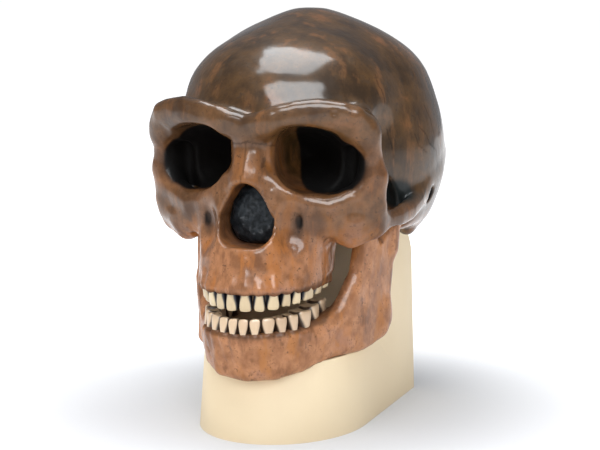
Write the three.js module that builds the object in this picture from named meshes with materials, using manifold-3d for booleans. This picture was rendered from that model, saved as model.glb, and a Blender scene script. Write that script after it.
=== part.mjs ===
// Fossil hominin skull, life size, with its lower jaw, on a moulded display base.
// Millimetres, +Z up, the face towards -Y. The origin is the centre of the base's underside.
//
// Places on the bones are given in the skull's own frame: x to the skull's left, y to the
// back and z up, from the point midway between the two ear holes, with the ear holes and the
// lower rims of the eye sockets level. The last group moves that frame onto the base.

import * as THREE from 'three';
import { MarchingCubes } from 'three/addons/objects/MarchingCubes.js';
import { mergeVertices } from 'three/addons/utils/BufferGeometryUtils.js';
import Module from 'manifold-3d';

const wasm = await Module();
wasm.setup();

// Driving sizes
const SKULL_LENGTH = 191;
const VAULT_HALF_WIDTH = 70;
const VAULT_TOP = 95;
const BACK_OF_HEAD = 92;
const BITE_FRONT = -109;
const SEAT_HEIGHT = -23;
const BASE_WIDTH = 88;
const BASE_FLOOR = -122.1;
const BASE_BACK = 54.7;
const BASE_FRONT = -95.3;
const JOINT_GAP = 0.3;

// Fineness
const CELL = 2;
const CELLS = 128;
const TRIANGLES_A_CELL = 12;
const WELD = 1e-4;
const TINY = 1e-6;
const CRANIUM_TRIANGLES = 5200;
const JAW_TRIANGLES = 1700;
const NASAL_TRIANGLES = 260;

// Looks
const LOOKS = {
  vault: { color: 0x5a4634, roughness: 0.38, metalness: 0 },
  face: { color: 0x8a5a3c, roughness: 0.42, metalness: 0 },
  jaw: { color: 0x96623f, roughness: 0.45, metalness: 0 },
  matrix: { color: 0x23272f, roughness: 0.3, metalness: 0 },
  base: { color: 0xe9dcbc, roughness: 0.7, metalness: 0 },
};

// Distances: each form is a function of a point, negative inside
const clamp = (value, low, high) => Math.min(Math.max(value, low), high);
const lerp = (a, b, t) => a + (b - a) * t;

function ramp(value, from, to) {
  const t = clamp((value - from) / (to - from), 0, 1);
  return t * t * (3 - 2 * t);
}

function ellipsoid([cx, cy, cz], [rx, ry, rz]) {
  return (x, y, z) => {
    const ax = (x - cx) / rx;
    const ay = (y - cy) / ry;
    const az = (z - cz) / rz;
    const near = Math.sqrt(ax * ax + ay * ay + az * az);
    const slope = Math.sqrt((ax / rx) ** 2 + (ay / ry) ** 2 + (az / rz) ** 2);
    return (near * (near - 1)) / Math.max(slope, TINY);
  };
}

// A rod between two points, with its own radius at each end, and squashed along an axis
function rod(a, b, radiusA, radiusB = radiusA, squash = [1, 1, 1]) {
  const [sx, sy, sz] = squash;
  const [ax, ay, az] = [a[0] / sx, a[1] / sy, a[2] / sz];
  const [dx, dy, dz] = [b[0] / sx - ax, b[1] / sy - ay, b[2] / sz - az];
  const span = dx * dx + dy * dy + dz * dz;
  const metric = Math.min(sx, sy, sz);
  return (x, y, z) => {
    const px = x / sx - ax;
    const py = y / sy - ay;
    const pz = z / sz - az;
    const t = clamp((px * dx + py * dy + pz * dz) / span, 0, 1);
    const ox = px - dx * t;
    const oy = py - dy * t;
    const oz = pz - dz * t;
    return (Math.sqrt(ox * ox + oy * oy + oz * oz) - lerp(radiusA, radiusB, t)) * metric;
  };
}

// Rods end to end through stations [x, y, z, radius]
function chain(stations, blend, squash) {
  const rods = [];
  for (let i = 1; i < stations.length; i += 1) {
    const [start, end] = [stations[i - 1], stations[i]];
    rods.push(rod(start.slice(0, 3), end.slice(0, 3), start[3], end[3], squash));
  }
  return joined(blend, ...rods);
}

// The side of a plane that its normal points to is outside
function halfSpace([px, py, pz], [nx, ny, nz]) {
  const size = Math.hypot(nx, ny, nz);
  return (x, y, z) => ((x - px) * nx + (y - py) * ny + (z - pz) * nz) / size;
}

function softMin(a, b, blend) {
  const h = Math.max(blend - Math.abs(a - b), 0) / blend;
  return Math.min(a, b) - (h * h * blend) / 4;
}

const softMax = (a, b, blend) => -softMin(-a, -b, blend);

function joined(blend, ...forms) {
  return (x, y, z) => {
    let value = forms[0](x, y, z);
    for (const form of forms.slice(1)) {
      value = softMin(value, form(x, y, z), blend);
    }
    return value;
  };
}

function carved(blend, body, ...tools) {
  return (x, y, z) => {
    let value = body(x, y, z);
    for (const tool of tools) {
      value = softMax(value, -tool(x, y, z), blend);
    }
    return value;
  };
}

const both = (blend, a, b) => (x, y, z) => softMax(a(x, y, z), b(x, y, z), blend);
const mirrored = (form) => (x, y, z) => form(Math.abs(x), y, z);

// The plan of a tooth row: half an ellipse in front, straight limbs behind its widest line
function rowPlan(halfWidth, widestAt, reach) {
  return (x, y) => {
    const ax = x / halfWidth;
    const ay = Math.min(y - widestAt, 0) / reach;
    const near = Math.sqrt(ax * ax + ay * ay);
    const slope = Math.sqrt((ax / halfWidth) ** 2 + (ay / reach) ** 2);
    return (near * (near - 1)) / Math.max(slope, TINY);
  };
}

// A wall of bone along stations { top, bottom, half }, leaning from its lower line to its upper
function boneWall(stations, edge) {
  return (x, y, z) => {
    let best = Infinity;
    for (let i = 1; i < stations.length; i += 1) {
      const [a, b] = [stations[i - 1], stations[i]];
      let t = 0.5;
      let offset = 0;
      let upright = 0;
      for (let pass = 0; pass < 2; pass += 1) {
        const low = lerp(a.bottom[2], b.bottom[2], t);
        const high = lerp(a.top[2], b.top[2], t);
        const u = clamp((z - low) / (high - low), 0, 1);
        const [ax, ay] = [lerp(a.bottom[0], a.top[0], u), lerp(a.bottom[1], a.top[1], u)];
        const [dx, dy] = [lerp(b.bottom[0], b.top[0], u) - ax, lerp(b.bottom[1], b.top[1], u) - ay];
        t = clamp(((x - ax) * dx + (y - ay) * dy) / (dx * dx + dy * dy), 0, 1);
        offset = Math.hypot(x - ax - dx * t, y - ay - dy * t) - lerp(a.half, b.half, t);
        upright = Math.abs(z - (low + high) / 2) - (high - low) / 2;
      }
      const side = Math.max(offset + edge, 0);
      const rise = Math.max(upright + edge, 0);
      const inner = Math.min(Math.max(offset + edge, upright + edge), 0);
      best = Math.min(best, Math.sqrt(side * side + rise * rise) + inner - edge);
    }
    return best;
  };
}

// Braincase
const VAULT_MID_Y = BACK_OF_HEAD - 2 - SKULL_LENGTH * 0.46;
const VAULT_MID_Z = 20;
const VAULT_RADII = [VAULT_HALF_WIDTH, SKULL_LENGTH * 0.46, VAULT_TOP - VAULT_MID_Z];
const KEEL_RISE = 2.6;
const KEEL_HALF_WIDTH = 16;
const BACKWARD_FALL = 0.04;
const SIDE_SWELL = 0.085;
const SWELL_AT = 73;
const SWELL_SPREAD = 17;

function braincase() {
  const egg = ellipsoid([0, VAULT_MID_Y, VAULT_MID_Z], VAULT_RADII);
  const narrowed = (x, y, z) => {
    const swell = SIDE_SWELL * Math.exp(-(((z - SWELL_AT) / SWELL_SPREAD) ** 2));
    const pinch = 1 - 0.1 * ramp(-y, 0, 62) + swell;
    const keel = KEEL_RISE * Math.exp(-((x / KEEL_HALF_WIDTH) ** 2)) * ramp(z, 45, 80);
    const fall = BACKWARD_FALL * Math.max(y + 10, 0) * ramp(z, 40, 90);
    return egg(x / pinch, y, z - keel + fall + KEEL_RISE * 0.6);
  };
  const neck = halfSpace([0, 90, 20], [0, 0.63, -0.777]);
  const floor = halfSpace([0, 0, SEAT_HEIGHT], [0, 0, -1]);
  const trimmed = both(9, both(24, narrowed, neck), floor);
  const brow = ellipsoid([0, -50, 44], [41, 35, 30]);
  const crown = ellipsoid([0, -32, 46], [56.5, 49, 39.5]);
  const rear = ellipsoid([0, 50, 44], [50, 35.5, 33]);
  const torus = chain([[0, 81.5, 32, 9], [24, 76, 31, 8.5], [44, 62, 27, 7]], 8);
  return joined(10, joined(5, trimmed, crown), joined(8, brow, rear), torus);
}

// Ear region: mastoid process, the crest above it and the root of the cheek arch
function earRegion() {
  const mastoid = rod([56, 12, 0], [50, 14, -21.5], 12, 6.5, [0.8, 1, 1]);
  const crest = chain([[63, -6, 2, 4.2], [62.6, 14, 8, 4.8], [59.5, 36, 16, 4]], 8);
  return joined(8, mastoid, crest);
}

const ARCH = [
  [57, -60, -12, 4.2], [62.5, -46, -11.3, 3.6], [65, -32, -10.5, 3.2],
  [65, -18, -8, 3.4], [63, -4, -2, 4.2],
];
const ARCH_SQUASH = [1, 1, 1.6];

function cheekArch() {
  return chain(ARCH, 4, ARCH_SQUASH);
}

// Brow ridge, the pillar beside each eye socket and the roof behind the ridge
const BROW_RIDGE = [
  [0, -93.5, 35.5, 6.2], [14, -92.5, 39.2, 7], [34, -88, 43, 6.8], [50, -80, 41, 6.2],
  [55, -73.5, 32, 5.4],
];

const SOCKET_PILLAR = [
  [55, -73, 32, 5.2], [56.6, -70, 24, 4.6], [57.5, -67, 12, 5], [54.5, -65, 0, 6],
];

function browRegion() {
  const ridge = chain(BROW_RIDGE, 5);
  const pillar = chain(SOCKET_PILLAR, 4);
  const roof = ellipsoid([28, -68, 36], [27, 20, 11]);
  const sideLine = chain([[54, -72, 37, 4.5], [44, -58, 43, 5], [43, -40, 52, 5]], 6);
  const outerWall = rod([54, -66, 16], [42, -48, 12], 4, 6, [1, 1, 3.2]);
  return joined(7, ridge, pillar, roof, sideLine, outerWall);
}

// Nose root and the block between the eye sockets
function noseRoot() {
  const root = ellipsoid([0, -70, 17], [15, 24, 27]);
  const bridge = chain([[0, -87.5, 30, 6.5], [0, -91, 22, 6.5], [0, -95, 10, 6]], 5, [1.15, 1, 1]);
  return joined(6, root, bridge);
}

// Upper jaw: a snout over the tooth row, with its front leaning back as it rises
const UPPER_ROW = { halfWidth: 32.5, widestAt: -72, gum: -45, gumRise: 0.1 };
const UPPER_REACH = UPPER_ROW.widestAt - BITE_FRONT;
const SNOUT_LEAN = 0.25;
const PALATE_HEIGHT = -31;
const ROW_DEPTH = 13;

function upperJaw() {
  return (x, y, z) => {
    const gum = UPPER_ROW.gum + (y - BITE_FRONT) * UPPER_ROW.gumRise;
    const reach = UPPER_REACH - Math.max(z - UPPER_ROW.gum, 0) * SNOUT_LEAN;
    const outline = rowPlan(UPPER_ROW.halfWidth, UPPER_ROW.widestAt, reach)(x, y);
    const palate = softMax(outline + ROW_DEPTH, z - PALATE_HEIGHT, 3);
    const block = softMax(softMax(outline, gum - z, 3), Math.max(y + 50, z - 14), 5);
    return softMax(block, -palate, 3);
  };
}

// Cheekbone
const SOCKET_SILL = [
  [15, -83, 9, 3.5], [24, -81.5, -1.5, 5], [37, -77.5, -3, 6], [49, -71, 2, 6], [57, -67, 12, 5],
];

function cheek() {
  const rim = chain(SOCKET_SILL, 5);
  const body = chain([[34, -74, -11, 7.5], [45, -69.5, -11, 8.5], [54, -63, -9, 7.5]], 6);
  const lower = chain([[37, -70, -15, 6], [44.5, -66, -18.5, 6.4], [51, -60, -17.5, 6]], 5);
  return joined(5, rim, body, lower);
}

// Eye socket: a rounded square at the rim that narrows back towards the middle
const SOCKET = { x: 33.2, z: 20, halfWidth: 20.5, halfHeight: 16.8, front: -90, apex: -50, drift: 15 };

function eyeSocket() {
  const depth = SOCKET.apex - SOCKET.front;
  return (x, y, z) => {
    const t = (y - SOCKET.front) / depth;
    const inward = clamp(t, 0, 0.999);
    const scale = Math.pow(1 - inward * inward, 0.62) + 0.15 * Math.max(-t, 0);
    const tilt = 0.12 * (x - SOCKET.x);
    const ax = Math.abs((x - SOCKET.x + SOCKET.drift * inward) / (SOCKET.halfWidth * scale));
    const az = Math.abs((z - SOCKET.z + tilt + 2 * inward) / (SOCKET.halfHeight * scale));
    const rounded = Math.pow(ax ** 2.7 + az ** 2.7, 1 / 2.7);
    const past = (t - 1) * depth;
    return Math.max((rounded - 1) * SOCKET.halfHeight * scale, past);
  };
}

// Nose opening: pear shaped, with a squared lower edge
const MATRIX_CLEARANCE = 0.7;
const NOSE = { z: -8, halfWidth: 14.5, up: 17.5, down: 14.6, back: -80 };

function noseOpening() {
  return (x, y, z) => {
    const power = z > NOSE.z ? 2 : 3.6;
    const reach = z > NOSE.z ? NOSE.up : NOSE.down;
    const ax = Math.abs(x / NOSE.halfWidth);
    const az = Math.abs((z - NOSE.z) / reach);
    const rounded = Math.pow(ax ** power + az ** power, 1 / power);
    return softMax((rounded - 1) * NOSE.halfWidth, y - NOSE.back, 4);
  };
}

// The dark rock that still fills the nose
function noseMatrix() {
  const fill = ellipsoid([1, -77, -8], [17, 13.5, 19]);
  const cavity = noseOpening();
  const lump = (x, y, z) => 0.8 * Math.sin(x * 0.6) * Math.sin(z * 0.5 + 1);
  return (x, y, z) => softMax(fill(x, y, z) + lump(x, y, z), cavity(x, y, z) + MATRIX_CLEARANCE, 1);
}

function cranium() {
  const bone = joined(6, braincase(), earRegion(), browRegion(), noseRoot(), upperJaw(), cheek());
  const shaped = joined(4, bone, cheekArch());
  const canineHollow = ellipsoid([25, -97, -13], [9, 11, 13]);
  const behindCheek = ellipsoid([52, -44, -14], [10.5, 17.5, 24]);
  const jawRoom = ellipsoid([48, -40, -36], [17, 27, 26]);
  const jawSocket = ellipsoid([50, -15, -12], [9, 6.5, 6.5]);
  const earHole = rod([54, -1, -4], [72, -2, -3], 3, 4.2);
  const hollowed = carved(4, shaped, canineHollow, behindCheek, jawRoom, jawSocket);
  return mirrored(carved(2, hollowed, eyeSocket(), noseOpening(), earHole));
}

// Lower jaw
const LOWER_ROW = { halfWidth: 28.5, widestAt: -74, gum: -60.6, gumRise: 0.1 };
const JAW_BODY = [
  { top: [-10, -100, -58.6], bottom: [-11, -91.5, -89.5], half: 6.6 },
  { top: [0, -102.2, -58.6], bottom: [0, -93.5, -89.5], half: 7 },
  { top: [10, -99.7, -58.6], bottom: [12, -91, -89.3], half: 6.8 },
  { top: [16.9, -92.9, -58.4], bottom: [20.8, -81, -86.5], half: 6.6 },
  { top: [21, -82, -57.8], bottom: [27.2, -70, -83.5], half: 6.4 },
  { top: [24.5, -69, -57], bottom: [33.2, -58, -81.5], half: 6.6 },
  { top: [28.8, -55, -55], bottom: [39.4, -44, -80.5], half: 6.4 },
  { top: [35, -46, -52], bottom: [43.5, -31, -78.5], half: 5.4 },
];
const RAMUS = [
  { top: [44.5, -45.5, -14], bottom: [38.5, -58, -79], half: 3.8 },
  { top: [46.5, -40, -18], bottom: [42, -49, -80], half: 3.8 },
  { top: [48, -36, -25], bottom: [44.5, -38, -79], half: 3.4 },
  { top: [49.5, -27, -19], bottom: [46.5, -28, -76], half: 3.8 },
  { top: [50.5, -20.5, -15], bottom: [47.5, -25, -70], half: 4 },
];

function lowerJaw() {
  const body = boneWall(JAW_BODY, 4.5);
  const ramus = boneWall(RAMUS, 3);
  const condyle = rod([44, -15.5, -12.6], [56.5, -14.5, -12], 4.6, 4.4, [1, 1, 1]);
  const neck = rod([50, -17, -15], [50.5, -21, -30], 5, 4.6, [1, 1, 1]);
  const corner = ellipsoid([47.5, -26, -66], [5.5, 7.5, 10]);
  const oblique = chain([[40.5, -52, -47, 4.4], [36, -60, -60, 4.8], [29.5, -72, -70, 4.5]], 4);
  return mirrored(joined(5, body, ramus, condyle, neck, corner, oblique));
}

// Closed surface of a form inside a box { low, high }, on a cubic lattice
const SURFACE_MARGIN = 0.02;

function surfaceOf(form, { low, high }) {
  const roomFor = CELLS * CELLS * TRIANGLES_A_CELL;
  const lattice = new MarchingCubes(CELLS, new THREE.Material(), false, false, roomFor);
  const half = CELLS / 2;
  const centre = low.map((value, axis) => (value + high[axis]) / 2);
  const reach = low.map((value, axis) => Math.ceil((high[axis] - value) / (2 * CELL)));
  lattice.isolation = 0;
  lattice.field.fill(-1);
  for (let k = half - reach[2]; k <= half + reach[2]; k += 1) {
    const z = centre[2] + (k - half) * CELL;
    for (let j = half - reach[1]; j <= half + reach[1]; j += 1) {
      const y = centre[1] + (j - half) * CELL;
      for (let i = half - reach[0]; i <= half + reach[0]; i += 1) {
        const value = -form(centre[0] + (i - half) * CELL, y, z);
        const nudged = Math.abs(value) < SURFACE_MARGIN ? SURFACE_MARGIN : value;
        lattice.field[i + CELLS * (j + CELLS * k)] = nudged;
      }
    }
  }
  lattice.update();
  const geometry = new THREE.BufferGeometry();
  const corners = lattice.positionArray.slice(0, lattice.count * 3);
  geometry.setAttribute('position', new THREE.BufferAttribute(corners, 3));
  const merged = mergeVertices(geometry, WELD / (half * CELL));
  merged.scale(half * CELL, half * CELL, half * CELL);
  merged.translate(...centre);
  return merged;
}

// Fewer triangles by folding the edges whose loss changes the surface least. Each vertex
// carries the sum of its triangles' plane distances squared, as the ten numbers of a
// symmetric 4 x 4 matrix.
const QUADRIC_SIZE = 10;
const LEAST_TURN = 0.25;
const LENGTH_COST = 2e-4;

class EdgeHeap {
  constructor() {
    this.items = [];
  }

  push(item) {
    const { items } = this;
    let at = items.length;
    items.push(item);
    while (at > 0) {
      const above = (at - 1) >> 1;
      if (items[above].cost <= item.cost) break;
      items[at] = items[above];
      at = above;
    }
    items[at] = item;
  }

  pop() {
    const { items } = this;
    const first = items[0];
    const last = items.pop();
    if (items.length === 0) return first;
    let at = 0;
    for (;;) {
      let below = 2 * at + 1;
      if (below >= items.length) break;
      if (below + 1 < items.length && items[below + 1].cost < items[below].cost) below += 1;
      if (items[below].cost >= last.cost) break;
      items[at] = items[below];
      at = below;
    }
    items[at] = last;
    return first;
  }
}

function reduced(geometry, goal) {
  const points = Array.from(geometry.attributes.position.array);
  const index = geometry.index.array;
  const faces = [];
  const around = Array.from({ length: points.length / 3 }, () => new Set());
  const quadrics = around.map(() => new Float64Array(QUADRIC_SIZE));
  const version = new Uint32Array(around.length);
  const place = (v) => [points[3 * v], points[3 * v + 1], points[3 * v + 2]];

  function normalOf(a, b, c) {
    const [ux, uy, uz] = [b[0] - a[0], b[1] - a[1], b[2] - a[2]];
    const [vx, vy, vz] = [c[0] - a[0], c[1] - a[1], c[2] - a[2]];
    return [uy * vz - uz * vy, uz * vx - ux * vz, ux * vy - uy * vx];
  }

  for (let f = 0; f < index.length; f += 3) {
    const face = [index[f], index[f + 1], index[f + 2]];
    const at = face.map(place);
    const normal = normalOf(...at);
    const size = Math.hypot(...normal);
    faces.push(face);
    for (const v of face) {
      around[v].add(faces.length - 1);
    }
    if (size < TINY) continue;
    const [a, b, c] = normal.map((n) => n / size);
    const d = -(a * at[0][0] + b * at[0][1] + c * at[0][2]);
    const terms = [a * a, a * b, a * c, a * d, b * b, b * c, b * d, c * c, c * d, d * d];
    for (const v of face) {
      terms.forEach((term, i) => {
        quadrics[v][i] += (term * size) / 2;
      });
    }
  }

  function costAt(q, [x, y, z]) {
    return q[0] * x * x + 2 * q[1] * x * y + 2 * q[2] * x * z + 2 * q[3] * x + q[4] * y * y
      + 2 * q[5] * y * z + 2 * q[6] * y + q[7] * z * z + 2 * q[8] * z + q[9];
  }

  function bestPlace(q, ends) {
    const det = q[0] * (q[4] * q[7] - q[5] * q[5]) - q[1] * (q[1] * q[7] - q[5] * q[2])
      + q[2] * (q[1] * q[5] - q[4] * q[2]);
    const middle = ends[0].map((value, i) => (value + ends[1][i]) / 2);
    const choices = [middle, ends[0], ends[1]];
    if (Math.abs(det) > TINY) {
      const exact = [
        -(q[3] * (q[4] * q[7] - q[5] * q[5]) + q[6] * (q[2] * q[5] - q[1] * q[7])
          + q[8] * (q[1] * q[5] - q[2] * q[4])) / det,
        -(q[3] * (q[5] * q[2] - q[1] * q[7]) + q[6] * (q[0] * q[7] - q[2] * q[2])
          + q[8] * (q[1] * q[2] - q[0] * q[5])) / det,
        -(q[3] * (q[1] * q[5] - q[4] * q[2]) + q[6] * (q[1] * q[2] - q[0] * q[5])
          + q[8] * (q[0] * q[4] - q[1] * q[1])) / det,
      ];
      const span = Math.hypot(...ends[0].map((value, i) => value - ends[1][i]));
      const away = Math.hypot(...exact.map((value, i) => value - middle[i]));
      if (away < 2 * span) choices.unshift(exact);
    }
    return choices.reduce((best, choice) => (costAt(q, choice) < costAt(q, best) ? choice : best));
  }

  const heap = new EdgeHeap();

  function offer(a, b) {
    const q = quadrics[a].map((value, i) => value + quadrics[b][i]);
    const ends = [place(a), place(b)];
    const target = bestPlace(q, ends);
    const span = Math.hypot(...ends[0].map((value, i) => value - ends[1][i]));
    const cost = Math.max(costAt(q, target), 0) + LENGTH_COST * span ** 4;
    heap.push({ a, b, target, cost, stamp: version[a] + version[b] });
  }

  function neighbours(v) {
    const found = new Set();
    for (const f of around[v]) {
      faces[f].forEach((w) => found.add(w));
    }
    found.delete(v);
    return found;
  }

  function keepsFacing(v, other, target) {
    for (const f of around[v]) {
      const face = faces[f];
      if (face.includes(other)) continue;
      const before = normalOf(...face.map(place));
      const after = normalOf(...face.map((w) => (w === v ? target : place(w))));
      const sizes = Math.hypot(...before) * Math.hypot(...after);
      const dot = before[0] * after[0] + before[1] * after[1] + before[2] * after[2];
      if (sizes < TINY || dot < LEAST_TURN * sizes) return false;
    }
    return true;
  }

  for (let v = 0; v < around.length; v += 1) {
    for (const w of neighbours(v)) {
      if (w > v) offer(v, w);
    }
  }
  let left = faces.length;
  while (left > goal && heap.items.length > 0) {
    const { a, b, target, stamp } = heap.pop();
    if (around[a].size === 0 || around[b].size === 0 || stamp !== version[a] + version[b]) continue;
    const nearB = neighbours(b);
    const shared = [...neighbours(a)].filter((v) => nearB.has(v));
    if (!nearB.has(a) || shared.length !== 2) continue;
    if (!keepsFacing(a, b, target) || !keepsFacing(b, a, target)) continue;
    points.splice(3 * a, 3, ...target);
    quadrics[b].forEach((term, i) => {
      quadrics[a][i] += term;
    });
    for (const f of [...around[b]]) {
      const face = faces[f];
      around[b].delete(f);
      if (face.includes(a)) {
        face.forEach((v) => around[v].delete(f));
        faces[f] = null;
        left -= 1;
      } else {
        face[face.indexOf(b)] = a;
        around[a].add(f);
      }
    }
    version[a] += 1;
    for (const v of neighbours(a)) {
      offer(a, v);
    }
  }
  const simple = new THREE.BufferGeometry();
  simple.setAttribute('position', new THREE.Float32BufferAttribute(points, 3));
  simple.setIndex(faces.filter(Boolean).flat());
  return mergeVertices(simple.toNonIndexed(), WELD);
}

// Solids, joined and cut
function solidOf(geometry) {
  const mesh = new wasm.Mesh({
    numProp: 3,
    vertProperties: Float32Array.from(geometry.attributes.position.array),
    triVerts: Uint32Array.from(geometry.index.array),
  });
  return new wasm.Manifold(mesh);
}

function bare(geometry) {
  const copy = geometry.index ? geometry.toNonIndexed() : geometry.clone();
  copy.deleteAttribute('normal');
  copy.deleteAttribute('uv');
  return mergeVertices(copy, WELD);
}

function largest(solid) {
  const pieces = solid.decompose();
  return pieces.reduce((best, piece) => (piece.volume() > best.volume() ? piece : best));
}

function meshOf(name, solid, look) {
  const { vertProperties, triVerts } = largest(solid).getMesh();
  const geometry = new THREE.BufferGeometry();
  geometry.setAttribute('position', new THREE.BufferAttribute(Float32Array.from(vertProperties), 3));
  geometry.setIndex(new THREE.BufferAttribute(Uint32Array.from(triVerts), 1));
  geometry.computeVertexNormals();
  const mesh = new THREE.Mesh(geometry, new THREE.MeshStandardMaterial(look));
  mesh.name = name;
  return mesh;
}

// Teeth. Widths run from the first incisor back, along the outer line of the row.
const UPPER_TEETH = [
  { kind: 'incisor', width: 8.1, depth: 6.4 }, { kind: 'incisor', width: 7.3, depth: 6.2 },
  { kind: 'canine', width: 8.4, depth: 8 }, { kind: 'premolar', width: 7.2, depth: 9.6 },
  { kind: 'premolar', width: 7.2, depth: 9.6 }, { kind: 'molar', width: 11.6, depth: 11.2 },
  { kind: 'molar', width: 11.4, depth: 11.4 }, { kind: 'molar', width: 9.4, depth: 10.4 },
];
const LOWER_TEETH = [
  { kind: 'incisor', width: 6.2, depth: 6 }, { kind: 'incisor', width: 6.6, depth: 6.2 },
  { kind: 'canine', width: 8.2, depth: 7.6 }, { kind: 'premolar', width: 7.8, depth: 8.8 },
  { kind: 'premolar', width: 8, depth: 9 }, { kind: 'molar', width: 12.2, depth: 10.6 },
  { kind: 'molar', width: 11.8, depth: 10.6 }, { kind: 'molar', width: 11, depth: 10.2 },
];
const UPPER_EDGE = { front: -53, rise: 0.14, setIn: 1 };
const LOWER_EDGE = { front: -56, rise: 0.1, setIn: 2 };
const TOOTH_GAP = 0.9;
const ROOT_SINK = 5;
const EDGE_DEPTH = { incisor: 0.45, canine: 0.55, premolar: 0.82, molar: 0.9 };
const NECK_WIDTH = 0.8;

// A crown: +Z towards its root, +Y towards the tongue, its biting edge at z = 0
function crown({ kind, width, depth }, length) {
  const grinding = kind === 'molar' || kind === 'premolar';
  const box = bare(new THREE.BoxGeometry(1, 1, 1, 2, grinding ? 2 : 1, 2));
  const at = box.attributes.position;
  const edgeDepth = EDGE_DEPTH[kind];
  for (let i = 0; i < at.count; i += 1) {
    const [u, v, w] = [at.getX(i) * 2, at.getY(i) * 2, at.getZ(i) + 0.5];
    const corner = Math.abs(u) + Math.abs(v) > 1.5 ? 0.82 : 1;
    const across = w < 0.25 ? 0.94 : lerp(1, NECK_WIDTH, ramp(w, 0.4, 1));
    const through = w < 0.25 ? edgeDepth : lerp(1, 0.85, ramp(w, 0.5, 1));
    const dip = grinding && w < 0.25 && u === 0 && v === 0 ? 1.2 : 0;
    const cusp = kind === 'canine' && w < 0.25 && u === 0 ? -1 : 0;
    const lean = w < 0.25 && !grinding ? -0.12 * depth : 0;
    at.setXYZ(
      i,
      (u * across * corner * width * TOOTH_GAP) / 2,
      (v * through * corner * depth) / 2 + lean,
      w * length + dip + cusp,
    );
  }
  return box;
}

// Both sides of a tooth row, standing on its bone
function toothRow(teeth, row, reach, edge, towardsRoot) {
  const bend = new THREE.EllipseCurve(0, row.widestAt, row.halfWidth, reach, -Math.PI / 2, 0);
  const bendLength = bend.getLength();
  const crowns = [];
  let along = 0;
  for (const tooth of teeth) {
    const middle = along + tooth.width / 2;
    along += tooth.width;
    const past = Math.max(middle - bendLength, 0);
    const u = Math.min(middle / bendLength, 1);
    const outer = bend.getPointAt(u);
    const heading = bend.getTangentAt(u);
    const inward = new THREE.Vector2(-heading.y, heading.x);
    const centre = outer.addScaledVector(inward, tooth.depth / 2 + edge.setIn);
    const y = centre.y + past;
    const biteZ = edge.front + (y - BITE_FRONT) * edge.rise;
    const gumZ = row.gum + (y - BITE_FRONT) * row.gumRise;
    const length = Math.abs(gumZ - biteZ) + ROOT_SINK;
    const turn = Math.atan2(heading.y, heading.x);
    for (const side of [1, -1]) {
      const shape = crown(tooth, length);
      if (towardsRoot < 0) shape.rotateY(Math.PI);
      shape.rotateZ(side * turn);
      shape.translate(side * centre.x, y, biteZ);
      crowns.push(shape);
    }
  }
  return crowns;
}

function withTeeth(bone, crowns) {
  return crowns.reduce((solid, shape) => solid.add(solidOf(shape)), bone);
}

// Display base: a drafted plinth with a rounded front, and a column up to the skull
const SIDE_DRAFT = 0.03;
const FRONT_DRAFT = 0.14;
const FRONT_CENTRE = -39.9;
const PLINTH_TOP = -83.5;
const COLUMN_FRONT = -12;
const COLUMN_BACK_BEND = 27;
const COLUMN_SHOULDER = 32;
const PLAN_STEPS = 28;

function basePlan() {
  const plan = new THREE.Shape();
  const half = BASE_WIDTH / 2;
  const corner = 4;
  plan.moveTo(half, FRONT_CENTRE);
  plan.lineTo(half, BASE_BACK - corner);
  plan.quadraticCurveTo(half, BASE_BACK, half - corner, BASE_BACK);
  plan.lineTo(corner - half, BASE_BACK);
  plan.quadraticCurveTo(-half, BASE_BACK, -half, BASE_BACK - corner);
  plan.lineTo(-half, FRONT_CENTRE);
  plan.absellipse(0, FRONT_CENTRE, half, FRONT_CENTRE - BASE_FRONT, Math.PI, 2 * Math.PI, false);
  const height = SEAT_HEIGHT - BASE_FLOOR;
  const block = bare(new THREE.ExtrudeGeometry(plan, {
    depth: height, bevelEnabled: false, curveSegments: PLAN_STEPS, steps: 1,
  }));
  const at = block.attributes.position;
  for (let i = 0; i < at.count; i += 1) {
    const [x, y, rise] = [at.getX(i), at.getY(i), at.getZ(i)];
    const front = BASE_FRONT + FRONT_DRAFT * rise;
    const drafted = lerp(BASE_BACK, front, (BASE_BACK - y) / (BASE_BACK - BASE_FRONT));
    at.setXYZ(i, x * (1 - (SIDE_DRAFT * rise) / half), drafted, rise + BASE_FLOOR);
  }
  return solidOf(block);
}

function baseProfile() {
  const profile = new THREE.Shape();
  const top = SEAT_HEIGHT - JOINT_GAP;
  const below = 5;
  profile.moveTo(BASE_FRONT - below, BASE_FLOOR - below);
  profile.lineTo(BASE_BACK + below, BASE_FLOOR - below);
  profile.lineTo(BASE_BACK + below, top - COLUMN_SHOULDER);
  profile.lineTo(BASE_BACK, top - COLUMN_SHOULDER);
  profile.quadraticCurveTo(BASE_BACK - 2, top - 3, COLUMN_BACK_BEND, top);
  profile.lineTo(COLUMN_FRONT, top);
  profile.bezierCurveTo(COLUMN_FRONT - 2, -62, COLUMN_FRONT - 10, -78, -58, PLINTH_TOP + 2);
  profile.lineTo(BASE_FRONT - below, PLINTH_TOP);
  profile.closePath();
  const slab = bare(new THREE.ExtrudeGeometry(profile, {
    depth: BASE_WIDTH + 2 * below, bevelEnabled: false, curveSegments: 10, steps: 1,
  }));
  slab.translate(0, 0, -BASE_WIDTH / 2 - below);
  slab.rotateX(Math.PI / 2).rotateZ(Math.PI / 2);
  return solidOf(slab);
}

function displayBase(jaw) {
  const body = basePlan().intersect(baseProfile());
  return body.subtract(jaw).subtract(jaw.translate([0, 0, -JOINT_GAP]));
}

// Parting of the cranium along its sutures, as thin flat cuts
function parted(solid, point, normal) {
  const size = Math.hypot(...normal);
  const unit = normal.map((n) => n / size);
  const offset = unit[0] * point[0] + unit[1] * point[1] + unit[2] * point[2];
  const ahead = solid.trimByPlane(unit, offset + JOINT_GAP / 2);
  const behind = solid.trimByPlane(unit.map((n) => -n), JOINT_GAP / 2 - offset);
  return [ahead, behind];
}

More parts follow.
